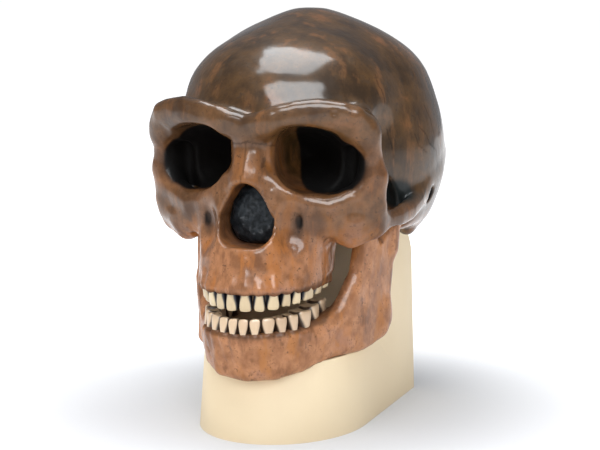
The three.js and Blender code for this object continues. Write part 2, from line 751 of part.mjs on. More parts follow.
const CORONAL = { point: [0, -22, 95], normal: [0, 0.949, -0.316] };
const LAMBDOID = { point: [0, 72, 68], normal: [0, 0.9, -0.434] };
const BROW_LEVEL = { point: [0, -94, 28.5], normal: [0, 0, 1] };
const FACE_BACK = { point: [0, -47, 0], normal: [0, 1, 0] };
const CHEEK_JOINT = { point: [29, -86, 4], normal: [28, -7, 3] };
const CORE_HALF_WIDTH = 30;

const mirrorOf = ([x, y, z]) => [-x, y, z];

// Assembly
const CRANIUM_BOX = { low: [-76, -114, -50], high: [76, 98, 102] };
const JAW_BOX = { low: [-66, -114, -94], high: [66, -4, -2] };
const MATRIX_BOX = { low: [-18, -100, -28], high: [18, -74, 12] };

const craniumBone = solidOf(reduced(surfaceOf(cranium(), CRANIUM_BOX), CRANIUM_TRIANGLES));
const jawBone = solidOf(reduced(surfaceOf(lowerJaw(), JAW_BOX), JAW_TRIANGLES));
const lowerReach = LOWER_ROW.widestAt - BITE_FRONT;
const jaw = withTeeth(jawBone, toothRow(LOWER_TEETH, LOWER_ROW, lowerReach, LOWER_EDGE, -1));

const [occipital, ahead] = parted(craniumBone, LAMBDOID.point, LAMBDOID.normal);
const [upper, lower] = parted(ahead, BROW_LEVEL.point, BROW_LEVEL.normal);
const [parietals, frontal] = parted(upper, CORONAL.point, CORONAL.normal);
const [earBones, faceBones] = parted(lower, FACE_BACK.point, FACE_BACK.normal);
const [leftSide, leftCore] = parted(earBones, [CORE_HALF_WIDTH, 0, 0], [1, 0, 0]);
const [rightSide, core] = parted(leftCore, [-CORE_HALF_WIDTH, 0, 0], [-1, 0, 0]);
const [leftCheek, leftFace] = parted(faceBones, CHEEK_JOINT.point, CHEEK_JOINT.normal);
const [rightCheek, face] = parted(leftFace, mirrorOf(CHEEK_JOINT.point), mirrorOf(CHEEK_JOINT.normal));
const upperRow = toothRow(UPPER_TEETH, UPPER_ROW, UPPER_REACH, UPPER_EDGE, 1);
const maxilla = withTeeth(largest(face), upperRow);

const jawLifted = jaw.translate([0, 0, JOINT_GAP]);
const clearOfJaw = (solid) => solid.subtract(jaw).subtract(jawLifted);
const matrixSurface = surfaceOf(noseMatrix(), MATRIX_BOX);
const matrix = solidOf(reduced(matrixSurface, NASAL_TRIANGLES)).subtract(craniumBone);

const skull = new THREE.Group();
skull.add(
  meshOf('frontal', frontal, LOOKS.vault),
  meshOf('parietals', parietals, LOOKS.vault),
  meshOf('occipital', occipital, LOOKS.vault),
  meshOf('temporal_left', clearOfJaw(leftSide), LOOKS.vault),
  meshOf('temporal_right', clearOfJaw(rightSide), LOOKS.vault),
  meshOf('cranial_base', core, LOOKS.vault),
  meshOf('cheekbone_left', clearOfJaw(leftCheek), LOOKS.face),
  meshOf('cheekbone_right', clearOfJaw(rightCheek), LOOKS.face),
  meshOf('upper_jaw', clearOfJaw(maxilla), LOOKS.face),
  meshOf('nose_matrix', matrix, LOOKS.matrix),
  meshOf('lower_jaw', jaw, LOOKS.jaw),
  meshOf('display_base', displayBase(jaw), LOOKS.base),
);
skull.position.set(0, -(BASE_BACK + BASE_FRONT) / 2, -BASE_FLOOR);

const part = new THREE.Group();
part.add(skull);
part.updateMatrixWorld(true);

export default part;
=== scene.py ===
# %% [markdown]
# Fossil hominin skull on its display base.
# A life-size varnished cast of a skull with its lower jaw. It stands on a smooth cream base.
# The packed CAD model is the frame: every piece here starts from a copy of its solids or
# from the same measures, and stays in its box.
# The first cell loads the frame and keeps its box.

import math
import random

import bmesh
import bpy
import numpy as np
from mathutils import Matrix, Vector


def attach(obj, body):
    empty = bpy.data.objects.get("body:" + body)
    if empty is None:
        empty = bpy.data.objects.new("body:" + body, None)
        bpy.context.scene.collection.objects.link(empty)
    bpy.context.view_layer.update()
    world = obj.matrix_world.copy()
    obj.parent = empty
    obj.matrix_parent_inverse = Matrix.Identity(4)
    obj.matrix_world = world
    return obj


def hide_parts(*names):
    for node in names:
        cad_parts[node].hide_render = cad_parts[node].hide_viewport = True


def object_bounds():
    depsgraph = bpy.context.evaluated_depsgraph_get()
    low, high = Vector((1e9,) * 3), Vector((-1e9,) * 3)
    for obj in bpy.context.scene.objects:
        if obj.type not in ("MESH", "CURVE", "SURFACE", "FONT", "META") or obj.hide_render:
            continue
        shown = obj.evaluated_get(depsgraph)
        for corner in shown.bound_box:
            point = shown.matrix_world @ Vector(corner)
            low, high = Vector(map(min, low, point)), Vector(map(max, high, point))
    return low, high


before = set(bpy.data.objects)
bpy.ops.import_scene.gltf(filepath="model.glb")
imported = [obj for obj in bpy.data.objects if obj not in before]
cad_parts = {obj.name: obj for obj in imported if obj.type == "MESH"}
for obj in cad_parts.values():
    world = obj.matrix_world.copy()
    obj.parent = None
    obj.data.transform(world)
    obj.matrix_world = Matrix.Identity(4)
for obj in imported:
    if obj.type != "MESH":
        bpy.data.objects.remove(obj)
cad_box = [list(corner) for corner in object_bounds()]
print("CAD box in metres", cad_box)

# %% [markdown]
# Pieces, lights and the camera are all added to the scene in the same way, so two small
# functions do it.

# %% New objects
def add_object(name, data):
    made = bpy.data.objects.new(name, data)
    bpy.context.collection.objects.link(made)
    return made


def mesh_object(name, shape):
    """An object with the mesh of a bmesh, which is freed."""
    data = bpy.data.meshes.new(name)
    shape.to_mesh(data)
    shape.free()
    return add_object(name, data)


print("CAD nodes", len(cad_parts))

# %% [markdown]
# The camera comes first, because every later choice is judged through it.
# It looks slightly down at the skull from its left front, with a long lens, so that the
# face keeps its proportions. Its turn is built from three axes: right, up and back.

# %% Camera
AZIMUTH = math.radians(20.4485)
ELEVATION = math.radians(7.4037)
DISTANCE = 0.823339
TARGET = Vector((0.003485, -0.0084, 0.10256))
LENS = 92.92
SENSOR_WIDTH = 36
NEAR_CLIP = 0.01

back = Vector((
    math.sin(AZIMUTH) * math.cos(ELEVATION),
    -math.cos(AZIMUTH) * math.cos(ELEVATION),
    math.sin(ELEVATION),
))
right = Vector((math.cos(AZIMUTH), math.sin(AZIMUTH), 0))
up = back.cross(right)
camera_data = bpy.data.cameras.new("camera")
camera_data.lens = LENS
camera_data.sensor_width = SENSOR_WIDTH
camera_data.clip_start = NEAR_CLIP
camera = add_object("camera", camera_data)
camera_turn = Matrix((right, up, back)).transposed().to_4x4()
camera.matrix_world = Matrix.Translation(TARGET + back * DISTANCE) @ camera_turn
bpy.context.scene.camera = camera
print("camera at", tuple(round(value, 4) for value in camera.matrix_world.translation))

# %% [markdown]
# A finish is a small network of shader nodes. Written out node by node it is hard to read,
# so one small class wraps a socket: its operators add Math nodes, and one method adds any
# other node. Colours are picked as screen values from 0 to 255 and made linear.

# %% Shader helpers
class Wire:
    """One output socket of a material, used in Python expressions."""

    def __init__(self, tree, socket):
        self.tree = tree
        self.socket = socket

    def node(self, kind, settings=None, inputs=None, output=0):
        made = self.tree.nodes.new(kind)
        for name, value in (settings or {}).items():
            setattr(made, name, value)
        for name, value in (inputs or {}).items():
            if isinstance(value, Wire):
                self.tree.links.new(value.socket, made.inputs[name])
            else:
                made.inputs[name].default_value = value
        return Wire(self.tree, made.outputs[output])

    def maths(self, operation, *values):
        return self.node("ShaderNodeMath", {"operation": operation}, dict(enumerate(values)))

    def __add__(self, other):
        return self.maths("ADD", self, other)

    def __radd__(self, other):
        return self.maths("ADD", other, self)

    def __sub__(self, other):
        return self.maths("SUBTRACT", self, other)

    def __rsub__(self, other):
        return self.maths("SUBTRACT", other, self)

    def __mul__(self, other):
        return self.maths("MULTIPLY", self, other)

    def __rmul__(self, other):
        return self.maths("MULTIPLY", other, self)

    def between(self, low, high):
        """0 below low, 1 above high, and a smooth step between them."""
        inputs = {"Value": self, "From Min": low, "From Max": high}
        return self.node("ShaderNodeMapRange", {"interpolation_type": "SMOOTHSTEP"}, inputs)

    def mix(self, first, second):
        """The first colour where this value is 0, and the second where it is 1."""
        inputs = {0: self, 6: first, 7: second}
        return self.node("ShaderNodeMix", {"data_type": "RGBA"}, inputs, 2)

    def noise(self, scale, detail=4, roughness=0.55, stretch=(1, 1, 1)):
        place = self
        if stretch != (1, 1, 1):
            place = self.node("ShaderNodeMapping", None, {"Vector": self, "Scale": stretch})
        inputs = {"Vector": place, "Scale": scale, "Detail": detail, "Roughness": roughness}
        return self.node("ShaderNodeTexNoise", None, inputs)

    def attribute(self, name):
        return self.node("ShaderNodeAttribute", {"attribute_name": name}, None, 2)

    def bump(self, strength, distance, below=None):
        inputs = {"Height": self, "Strength": strength, "Distance": distance}
        if below is not None:
            inputs["Normal"] = below
        return self.node("ShaderNodeBump", None, inputs)


print("a wire offers", [name for name in vars(Wire) if not name.startswith("_")])


# %% Colours and materials
def tint(red, green, blue):
    """A screen colour from 0 to 255 as a linear one."""
    def linear(value):
        value = value / 255
        return value / 12.92 if value <= 0.04045 else ((value + 0.055) / 1.055) ** 2.4
    return (linear(red), linear(green), linear(blue), 1)


def new_material(name, **fixed):
    """A material, its shader and the Object coordinates that its patterns read."""
    material = bpy.data.materials.new(name)
    material.use_nodes = True
    tree = material.node_tree
    shader = tree.nodes["Principled BSDF"]
    for socket, value in fixed.items():
        shader.inputs[socket.replace("_", " ")].default_value = value
    place = Wire(tree, tree.nodes.new("ShaderNodeTexCoord").outputs["Object"])

    def feed(socket, wire):
        tree.links.new(wire.socket, shader.inputs[socket])

    return material, place, feed


print("mid grey as a linear colour", [round(value, 3) for value in tint(128, 128, 128)])

# %% [markdown]
# The stage is a wide pale floor and an even white surround, as in a product photograph.
# Only the camera sees the surround as white. For everything else it is a dim grey room,
# because a white one would lay a veil over the dark bone.

# %% Surround
bpy.context.scene.view_settings.view_transform = "Standard"
WHITE = (1, 1, 1, 1)
ROOM_LOW = (0.3, 0.31, 0.33, 1)
ROOM_HIGH = (0.22, 0.23, 0.25, 1)
SURROUND_STRENGTH = 1.02
world = bpy.context.scene.world or bpy.data.worlds.new("world")
bpy.context.scene.world = world
world.use_nodes = True
tree = world.node_tree
sky = Wire(tree, tree.nodes.new("ShaderNodeTexCoord").outputs["Generated"])
sky_height = sky.node("ShaderNodeSeparateXYZ", None, {"Vector": sky}, 2)
in_picture = sky.node("ShaderNodeLightPath")
room = sky_height.between(0, 0.5).mix(ROOM_LOW, ROOM_HIGH)
surround = tree.nodes["Background"]
tree.links.new(in_picture.mix(room, WHITE).socket, surround.inputs["Color"])
surround.inputs["Strength"].default_value = SURROUND_STRENGTH
print("surround of strength", SURROUND_STRENGTH)

# %% [markdown]
# The floor glows more with distance, so that it goes over into the white surround, while
# the soft shadow near the base stays. Its weaker glow near the base also paints a soft
# shade around the base.

# %% Floor
FLOOR_RADIUS = 6
FLOOR_TONES = ((0.59, 0.6, 0.62, 1), (0.61, 0.62, 0.64, 1))
GLOW_NEAR = (0.12, 0.125, 0.13, 1)
GLOW_RANGE = (0.08, 0.3)
floor_shape = bmesh.new()
bmesh.ops.create_circle(floor_shape, cap_ends=True, segments=64, radius=FLOOR_RADIUS)
floor = mesh_object("floor", floor_shape)
floor_finish, floor_place, floor_feed = new_material(
    "pale_floor", Roughness=0.9, Specular_IOR_Level=0, Emission_Strength=1
)
floor_tone = floor_place.noise(2).between(0.2, 0.8)
floor_feed("Base Color", floor_tone.mix(*FLOOR_TONES))
away = floor_place.node("ShaderNodeVectorMath", {"operation": "LENGTH"}, {0: floor_place}, 1)
# Less glow near the base: painted shade around it.
floor_feed("Emission Color", away.between(*GLOW_RANGE).mix(GLOW_NEAR, WHITE))
floor.data.materials.append(floor_finish)
print("floor radius in metres", FLOOR_RADIUS)

# %% [markdown]
# Each soft box has one task. A shade box lights the bone and leaves no reflection. A gloss
# box shows only in the varnish: the overhead one as the upper bright patch on the
# forehead, and the front one as the lower patch. Two weak boxes fill the sides.

# %% Soft boxes
COOL = (0.93, 0.97, 1)
NEUTRAL = (1, 1, 1)
TOP_OF_HEAD = (0.01, -0.05, 0.19)
FOREHEAD = (0.02, -0.06, 0.17)
MIDDLE = (0, 0, 0.1)
SOFT_BOXES = [
    ("overhead_shade", (-0.05, -0.2, 1.25), TOP_OF_HEAD, 0.8, 0.8, 13, "shade"),
    ("overhead_gloss", (0.01, -0.1, 1.25), TOP_OF_HEAD, 0.9, 0.86, 28, "gloss"),
    ("front_shade", (0.3, -1.4, 0.8), MIDDLE, 1.4, 1, 11, "shade"),
    ("front_gloss", (0.42, -1.0, 0.95), FOREHEAD, 1.4, 0.6, 36, "gloss"),
    ("left_fill", (-1.2, -0.9, 0.5), MIDDLE, 0.9, 0.9, 6, "shade"),
    ("right_fill", (1.3, -0.3, 0.6), MIDDLE, 0.9, 0.9, 5, "shade"),
]


def soft_box(name, place, aim, width, height, power, task):
    data = bpy.data.lights.new(name, "AREA")
    data.shape = "RECTANGLE"
    data.size = width
    data.size_y = height
    data.energy = power
    data.color = COOL if task == "gloss" else NEUTRAL
    light = add_object(name, data)
    turn = (Vector(place) - Vector(aim)).to_track_quat("Z", "Y")
    light.matrix_world = Matrix.Translation(place) @ turn.to_matrix().to_4x4()
    light.visible_glossy = task == "gloss"
    light.visible_diffuse = task == "shade"


for box in SOFT_BOXES:
    soft_box(*box)
print("soft boxes", len(SOFT_BOXES))

# %% [markdown]
# The CAD bones are made of flat facets and parted by thin cuts. A sculptor would fuse them
# and smooth them by eye. Here the fused surface is settled onto the smooth form of the
# same skull: each form is a function of a point, negative inside, in millimetres in the
# skull's own frame, with x to its left, y to its back and z up from between its ears.

# %% Forms
SKULL_ORIGIN = np.array((0, 20.3, 122.1))
TINY = 1e-6
FAR = 1e3
LEAST_SLOPE = 0.05
LONGEST_MOVE = 3


def ramp(value, start, end):
    t = np.clip((value - start) / (end - start), 0, 1)
    return t * t * (3 - 2 * t)


def ellipsoid(centre, radii):
    centre, radii = np.array(centre, float), np.array(radii, float)

    def form(p):
        a = (p - centre) / radii
        near = np.linalg.norm(a, axis=1)
        return near * (near - 1) / np.maximum(np.linalg.norm(a / radii, axis=1), TINY)

    return form


def rod(start, end, first, last=None, squash=(1, 1, 1)):
    squash = np.array(squash, float)
    a, b = np.array(start, float) / squash, np.array(end, float) / squash
    last = first if last is None else last
    run = b - a

    def form(p):
        q = p / squash - a
        t = np.clip(q @ run / (run @ run), 0, 1)
        away = np.linalg.norm(q - t[:, None] * run, axis=1)
        return (away - (first + (last - first) * t)) * squash.min()

    return form


def chain(stations, squash=(1, 1, 1)):
    """Rods end to end through stations of x, y, z and radius."""
    pairs = zip(stations[:-1], stations[1:])
    rods = [rod(a[:3], b[:3], a[3], b[3], squash) for a, b in pairs]
    return lambda p: np.min([form(p) for form in rods], axis=0)


def half_space(point, normal):
    normal = np.array(normal, float) / np.linalg.norm(normal)
    return lambda p: (p - np.array(point)) @ normal


TEST_POINT = np.array([(4.0, 5.0, 0.0)])
print("5 mm beside a rod of radius 2:", rod((0, 0, 0), (9, 0, 0), 2)(TEST_POINT), "mm")


# %% Joining, carving and settling
def soft_min(a, b, blend):
    h = np.maximum(blend - np.abs(a - b), 0) / blend
    return np.minimum(a, b) - h * h * blend / 4


def soft_max(a, b, blend):
    return -soft_min(-a, -b, blend)


def joined(blend, *forms):
    def form(p):
        value = forms[0](p)
        for other in forms[1:]:
            value = soft_min(value, other(p), blend)
        return value

    return form


def carved(blend, body, *tools):
    def form(p):
        value = body(p)
        for tool in tools:
            value = soft_max(value, -tool(p), blend)
        return value

    return form


def mirrored(form):
    return lambda p: form(np.column_stack((np.abs(p[:, 0]), p[:, 1], p[:, 2])))


def slope_of(form, p, value, step=0.15):
    return np.column_stack([(form(p + axis) - value) / step for axis in np.eye(3) * step])


def settled(p, form, passes):
    """Points moved along the form's slope until they lie on its surface."""
    for _ in range(passes):
        value = form(p)
        slope = slope_of(form, p, value)
        size = np.maximum((slope * slope).sum(axis=1), LEAST_SLOPE)
        move = (value / size)[:, None] * slope
        reach = np.linalg.norm(move, axis=1, keepdims=True)
        p = p - move * np.minimum(1, LONGEST_MOVE / np.maximum(reach, TINY))
    return p


SETTLED_POINT = settled(TEST_POINT, rod((0, 0, 0), (9, 0, 0), 2), 4)
print("the same point settled on the rod:", SETTLED_POINT.round(2))

# %% [markdown]
# A skull of this kind has a long low braincase, widest low down, with a faint keel along
# its top and a thick ridge across the back. The egg below is bent a little: narrower in
# front, fuller at the shoulders, and falling towards the back.

# %% Braincase and ear region
EGG_CENTRE = (0, 2.14, 20)
EGG_RADII = (70, 87.86, 75)
KEEL_RISE = 2.6


def braincase():
    egg = ellipsoid(EGG_CENTRE, EGG_RADII)

    def bent_egg(p):
        x, y, z = p.T
        swell = 0.085 * np.exp(-(((z - 73) / 17) ** 2))
        pinch = 1 - 0.1 * ramp(-y, 0, 62) + swell
        keel = KEEL_RISE * np.exp(-((x / 16) ** 2)) * ramp(z, 45, 80)
        fall = 0.04 * np.maximum(y + 10, 0) * ramp(z, 40, 90)
        return egg(np.column_stack((x / pinch, y, z - keel + fall + KEEL_RISE * 0.6)))

    neck = half_space((0, 90, 20), (0, 0.63, -0.777))
    seat = half_space((0, 0, -23), (0, 0, -1))
    crown = ellipsoid((0, -32, 46), (56.5, 49, 39.5))
    rear = ellipsoid((0, 50, 44), (50, 35.5, 33))
    brow_mass = ellipsoid((0, -50, 44), (41, 35, 30))
    torus = chain([(0, 81.5, 32, 9), (24, 76, 31, 8.5), (44, 62, 27, 7)])

    def trimmed(p):
        return soft_max(soft_max(bent_egg(p), neck(p), 24), seat(p), 9)

    return joined(10, joined(5, trimmed, crown), joined(8, brow_mass, rear), torus)


def ear_region():
    mastoid = rod((56, 12, 0), (50, 14, -21.5), 12, 6.5, (0.8, 1, 1))
    crest = chain([(63, -6, 2, 4.2), (62.6, 14, 8, 4.8), (59.5, 36, 16, 4)])
    return joined(8, mastoid, crest)


print("braincase egg in mm", [2 * radius for radius in EGG_RADII])

# %% [markdown]
# The face: a bar of bone over the eyes, a pillar beside each socket, the nose root, the
# cheekbones and the snout that carries the teeth. The sockets are rounded squares that
# narrow towards the middle, and the nose opening is pear shaped. Ridges are chains of rods
# through stations of x, y, z and radius, which keeps them easy to move.

# %% Lines of the face
BROW_RIDGE = [
    (0, -93.5, 35.5, 6.2), (14, -92.5, 39.2, 7), (34, -88, 43, 6.8), (50, -80, 41, 6.2),
    (55, -73.5, 32, 5.4),
]
BROW_CREST = [
    (0, -96.6, 39.6, 2), (8, -96.8, 41.2, 2), (14, -95.8, 44, 2), (25, -93.6, 46.8, 2.2),
    (36, -90, 47.8, 2.4), (47, -85, 46.4, 2.2), (52.6, -81.4, 44, 2), (57, -75.6, 37, 2.2),
]
SOCKET_PILLAR = [
    (55, -73, 32, 5.2), (56.6, -70, 24, 4.6), (57.5, -67, 12, 5), (56.6, -65.5, -2, 6),
]
SOCKET_SILL = [
    (15, -83, 9, 3.5), (24, -81.5, -1.5, 5), (37, -77.5, -3, 6), (49, -71, 2, 6),
    (57, -67, 12, 5),
]
CHEEK_ARCH = [
    (57, -60, -11.5, 4.6), (62.5, -46, -9.8, 4), (65, -32, -8, 3.6), (65, -18, -5, 3.6),
    (63, -4, 0, 4.2),
]
BITE_FRONT = -109
UPPER_ROW = {"half_width": 32.5, "widest_at": -72, "gum": -45, "gum_rise": 0.1}
LOWER_ROW = {"half_width": 30.5, "widest_at": -74, "gum": -65.2, "gum_rise": 0.1}


def gum_height(row, y):
    return row["gum"] + (y - BITE_FRONT) * row["gum_rise"]


print("upper gum from", gum_height(UPPER_ROW, BITE_FRONT), "to", gum_height(UPPER_ROW, -50))


# %% Brow and nose root
def brow_region():
    roof = ellipsoid((28, -68, 36), (27, 20, 11))
    side_line = chain([(54, -72, 37, 4.5), (44, -58, 43, 5), (43, -40, 52, 5)])
    outer_wall = rod((54, -66, 16), (42, -48, 12), 4, 6, (1, 1, 3.2))
    return joined(7, chain(BROW_RIDGE), chain(SOCKET_PILLAR), roof, side_line, outer_wall)


def nose_root():
    root = ellipsoid((0, -70, 17), (15, 24, 27))
    bridge = chain([(0, -87.5, 30, 6.5), (0, -91, 22, 6.5), (0, -95, 10, 6)], (1.15, 1, 1))
    return joined(6, root, bridge)


print("brow ridge through", len(BROW_RIDGE), "stations")

# %% Upper jaw and cheeks
UPPER_REACH = 35.6
REACH_LOSS = 0.21
PALATE_WALL = 13
PALATE_ROOF = -31


def row_plan(row, reach):
    """The outline of a tooth row from above: half an oval in front of straight sides."""
    half_width = row["half_width"]

    def form(p):
        ax = p[:, 0] / half_width
        ay = np.minimum(p[:, 1] - row["widest_at"], 0) / reach
        near = np.hypot(ax, ay)
        return near * (near - 1) / np.maximum(np.hypot(ax / half_width, ay / reach), TINY)

    return form


def upper_jaw():
    def form(p):
        x, y, z = p.T
        reach = UPPER_REACH - np.maximum(z - UPPER_ROW["gum"], 0) * REACH_LOSS
        plan = row_plan(UPPER_ROW, reach)(p)
        palate = soft_max(plan + PALATE_WALL, z - PALATE_ROOF, 3)
        above_gum = soft_max(plan, gum_height(UPPER_ROW, y) - z, 3)
        block = soft_max(above_gum, np.maximum(y + 50, z - 14), 5)
        return soft_max(block, -palate, 3)

    return form


def cheek():
    body = chain([(34, -74, -11, 7.5), (45, -69.5, -11, 8.5), (54, -63, -9, 7.5)])
    lower = chain([(37, -70, -15, 6), (44.5, -66, -18.5, 6.4), (51, -60, -17.5, 6)])
    return joined(5, chain(SOCKET_SILL), body, lower)


print("cheek arch ends at", CHEEK_ARCH[-1][:3])

# %% Sockets, nose opening and ear hole
SOCKET_MIDDLE = (33.2, 20)
SOCKET_HALF_WIDTH = 20.5
SOCKET_HALF_HEIGHT = 16.8
SOCKET_RIM = -90
SOCKET_DEPTH = 40
SOCKET_SQUARENESS = 2.7
NOSE_HEIGHTS = (-22, -16, -8, 0, 9)
NOSE_WIDTHS = (11.5, 13.8, 14.4, 10.2, 4.4)


def eye_socket(p):
    """A rounded square that shrinks with depth and turns towards the middle."""
    x, y, z = p.T
    t = (y - SOCKET_RIM) / SOCKET_DEPTH
    inward = np.clip(t, 0, 0.999)
    scale = (1 - inward * inward) ** 0.62 + 0.15 * np.maximum(-t, 0)
    beside = x - SOCKET_MIDDLE[0]
    above = z - SOCKET_MIDDLE[1] + 0.12 * beside
    ax = np.abs((beside + 15 * inward) / (SOCKET_HALF_WIDTH * scale))
    az = np.abs((above + 2 * inward) / (SOCKET_HALF_HEIGHT * scale))
    rounded = (ax ** SOCKET_SQUARENESS + az ** SOCKET_SQUARENESS) ** (1 / SOCKET_SQUARENESS)
    return np.maximum((rounded - 1) * SOCKET_HALF_HEIGHT * scale, (t - 1) * SOCKET_DEPTH)


def nose_opening(p):
    x, y, z = p.T
    side = (np.abs(x) - np.interp(z, NOSE_HEIGHTS, NOSE_WIDTHS)) * 0.88
    pear = soft_max(soft_max(side, z - 9.4, 4), -22.6 - z, 6)
    return soft_max(pear, y + 80, 4)


ear_hole = rod((54, -1, -4), (72, -2, -3), 3, 4.2)
print("sockets", 2 * SOCKET_HALF_WIDTH, "by", 2 * SOCKET_HALF_HEIGHT, "mm")

# %% [markdown]
# Each tooth has its width, and the teeth stand side by side along the row's outer line.
# That line gives the places of the roots too, which show as soft upright ridges in the
# bone. The rows are worked out once and used for the ridges and for the crowns.

# %% Tooth rows
HEADING_REACH = 37
UPPER_TEETH = [
    ("incisor", 8.1, 6.4), ("incisor", 7.3, 6.2), ("canine", 8.4, 8), ("premolar", 7.2, 9.6),
    ("premolar", 7.2, 9.6), ("molar", 11.6, 11.2), ("molar", 11.4, 11.4), ("molar", 9.4, 10.4),
]
LOWER_TEETH = [
    ("incisor", 6.2, 6), ("incisor", 6.6, 6.2), ("canine", 8.2, 7.6), ("premolar", 7.8, 8.8),
    ("premolar", 8, 9), ("molar", 12.2, 10.6), ("molar", 11.8, 10.6), ("molar", 11, 10.2),
]


def row_places(teeth, row):
    """Kind, width, depth, outer point and inward direction of each tooth on the left."""
    angle = np.linspace(-math.pi / 2, 0, 400)
    x = row["half_width"] * np.cos(angle)
    y = row["widest_at"] + (row["widest_at"] - BITE_FRONT) * np.sin(angle)
    along = np.concatenate(([0], np.cumsum(np.hypot(np.diff(x), np.diff(y)))))
    places = []
    used = 0
    for kind, width, depth in teeth:
        middle = used + width / 2
        used += width
        past = max(middle - along[-1], 0)
        here = min(middle, along[-1])
        point = np.array((np.interp(here, along, x), np.interp(here, along, y) + past))
        turn = np.interp(here, along, angle)
        across = -row["half_width"] * math.sin(turn)
        heading = np.array((across, HEADING_REACH * math.cos(turn)))
        heading = heading / np.linalg.norm(heading)
        inward = np.array((-heading[1], heading[0]))
        places.append((kind, width, depth, point, inward))
    return places


upper_places = row_places(UPPER_TEETH, UPPER_ROW)
lower_places = row_places(LOWER_TEETH, LOWER_ROW)
print("teeth a side:", len(upper_places), "above,", len(lower_places), "below")

# %% Root ridges
ROOT_WIDTH = 0.42
ROOT_SET_IN = 1.7
ROOT_LEAN = 0.25
RIDGE_PROUD = {"incisor": 1.6, "canine": 2.4, "premolar": 1.9, "molar": 1.4}
RIDGE_TOP = {"incisor": -27, "canine": -18, "premolar": -26, "molar": -31}


def upper_roots():
    roots = []
    for kind, width, _, point, inward in upper_places:
        paired = kind == "molar"
        size = width * ROOT_WIDTH * (0.6 if paired else 1)
        heading = np.array((inward[1], -inward[0]))
        lean = ROOT_LEAN * (RIDGE_TOP[kind] - UPPER_ROW["gum"])
        for shift in (-0.27, 0.27) if paired else (0,):
            outer = point + heading * width * shift
            low = outer + inward * (size + ROOT_SET_IN - RIDGE_PROUD[kind])
            high = outer + inward * (size + lean + 1.8)
            start, end = (*low, -42), (*high, RIDGE_TOP[kind])
            roots.append(rod(start, end, size, size * 0.8))
    return joined(0.8, *roots)


print("upper roots show up to", RIDGE_TOP)


# %% Whole cranium form
def cranium():
    bone = joined(6, braincase(), ear_region(), brow_region(), nose_root(), upper_jaw(), cheek())
    arched = joined(4, bone, chain(CHEEK_ARCH, (1, 1, 1.6)))
    shaped = joined(4.5, arched, chain(BROW_CREST))
    ridged = joined(1.5, shaped, upper_roots())
    hollows = [
        ellipsoid((25, -97, -13), (9, 11, 13)), ellipsoid((52, -44, -14), (10.5, 17.5, 24)),
        ellipsoid((48, -40, -36), (17, 27, 26)), ellipsoid((50, -15, -12), (9, 6.5, 6.5)),
    ]
    open_face = carved(2, carved(4, ridged, *hollows), eye_socket, nose_opening, ear_hole)
    under_eye = rod((24.6, -92, -11.5), (24, -83.5, -9), 1.3, 1, (1, 1, 2.4))
    behind_teeth = ellipsoid((36.5, -74, -24.5), (3.2, 4, 6))
    return mirrored(carved(1.5, open_face, under_eye, behind_teeth))


cranium_form = cranium()
print("cranium form in the middle of the vault:", cranium_form(np.array([(0.0, 0.0, 40.0)])))

# %% [markdown]
# The lower jaw is a heavy horseshoe. Its body is a thick wall that leans out towards its
# lower edge, and a broad thin branch rises at each end to the joint in front of the ear.
# Walls are used rather than rods, because both parts are flat and change their lean.

# %% Wall of the lower jaw
JAW_BODY = [
    ((-10, -99.6, -64), (-11, -91.5, -89.2), 6.6), ((0, -101.2, -64.3), (0, -93.5, -89.8), 7),
    ((10, -99.2, -64), (12, -91, -88.8), 6.8), ((17.5, -92.6, -63.2), (20.8, -81, -86.5), 6.6),
    ((22.5, -82, -62), (27.2, -70, -83.5), 6.4), ((26.5, -69, -60.6), (33.2, -58, -81.5), 6.6),
    ((30.5, -55, -58), (39.4, -44, -80.5), 6.4), ((35.5, -46, -52), (43.5, -31, -78.5), 5.4),
]
JAW_BRANCH = [
    ((44.5, -45.5, -14), (38.5, -58, -79), 3.8), ((46.5, -40, -18), (42, -49, -80), 3.8),
    ((48, -36, -25), (44.5, -38, -79), 3.4), ((49.5, -27, -19), (46.5, -28, -76), 3.8),
    ((50.5, -20.5, -15), (47.5, -25, -70), 4),
]


def bone_wall(stations, edge):
    """A wall along stations (top, bottom, half thickness), leaning from bottom to top."""
    def form(p):
        x, y, z = p.T
        best = np.full(len(p), FAR)
        for (top_a, low_a, half_a), (top_b, low_b, half_b) in zip(stations, stations[1:]):
            top_a, low_a, top_b, low_b = map(np.array, (top_a, low_a, top_b, low_b))
            t = np.full(len(p), 0.5)
            for _ in range(2):
                low = low_a[2] + (low_b[2] - low_a[2]) * t
                high = top_a[2] + (top_b[2] - top_a[2]) * t
                u = np.clip((z - low) / (high - low), 0, 1)[:, None]
                a = low_a[:2] + (top_a - low_a)[:2] * u
                run = low_b[:2] + (top_b - low_b)[:2] * u - a
                q = p[:, :2] - a
                t = np.clip((q * run).sum(axis=1) / (run * run).sum(axis=1), 0, 1)
                away = np.linalg.norm(q - run * t[:, None], axis=1)
                side = away - (half_a + (half_b - half_a) * t) + edge
                rise = np.abs(z - (low + high) / 2) - (high - low) / 2 + edge
            outside = np.hypot(np.maximum(side, 0), np.maximum(rise, 0))
            best = np.minimum(best, outside + np.minimum(np.maximum(side, rise), 0) - edge)
        return best

    return form


print("wall stations", len(JAW_BODY), "in the body,", len(JAW_BRANCH), "in the branch")


# %% Lower jaw form
def lower_roots():
    roots = []
    for kind, width, _, point, inward in lower_places:
        if kind == "molar":
            continue
        size = width * ROOT_WIDTH
        start = (*(point + inward * (size + 0.5)), -66)
        end = (*(point + inward * (size + 3.9)), -77)
        roots.append(rod(start, end, size, size * 0.7))
    return joined(0.8, *roots)


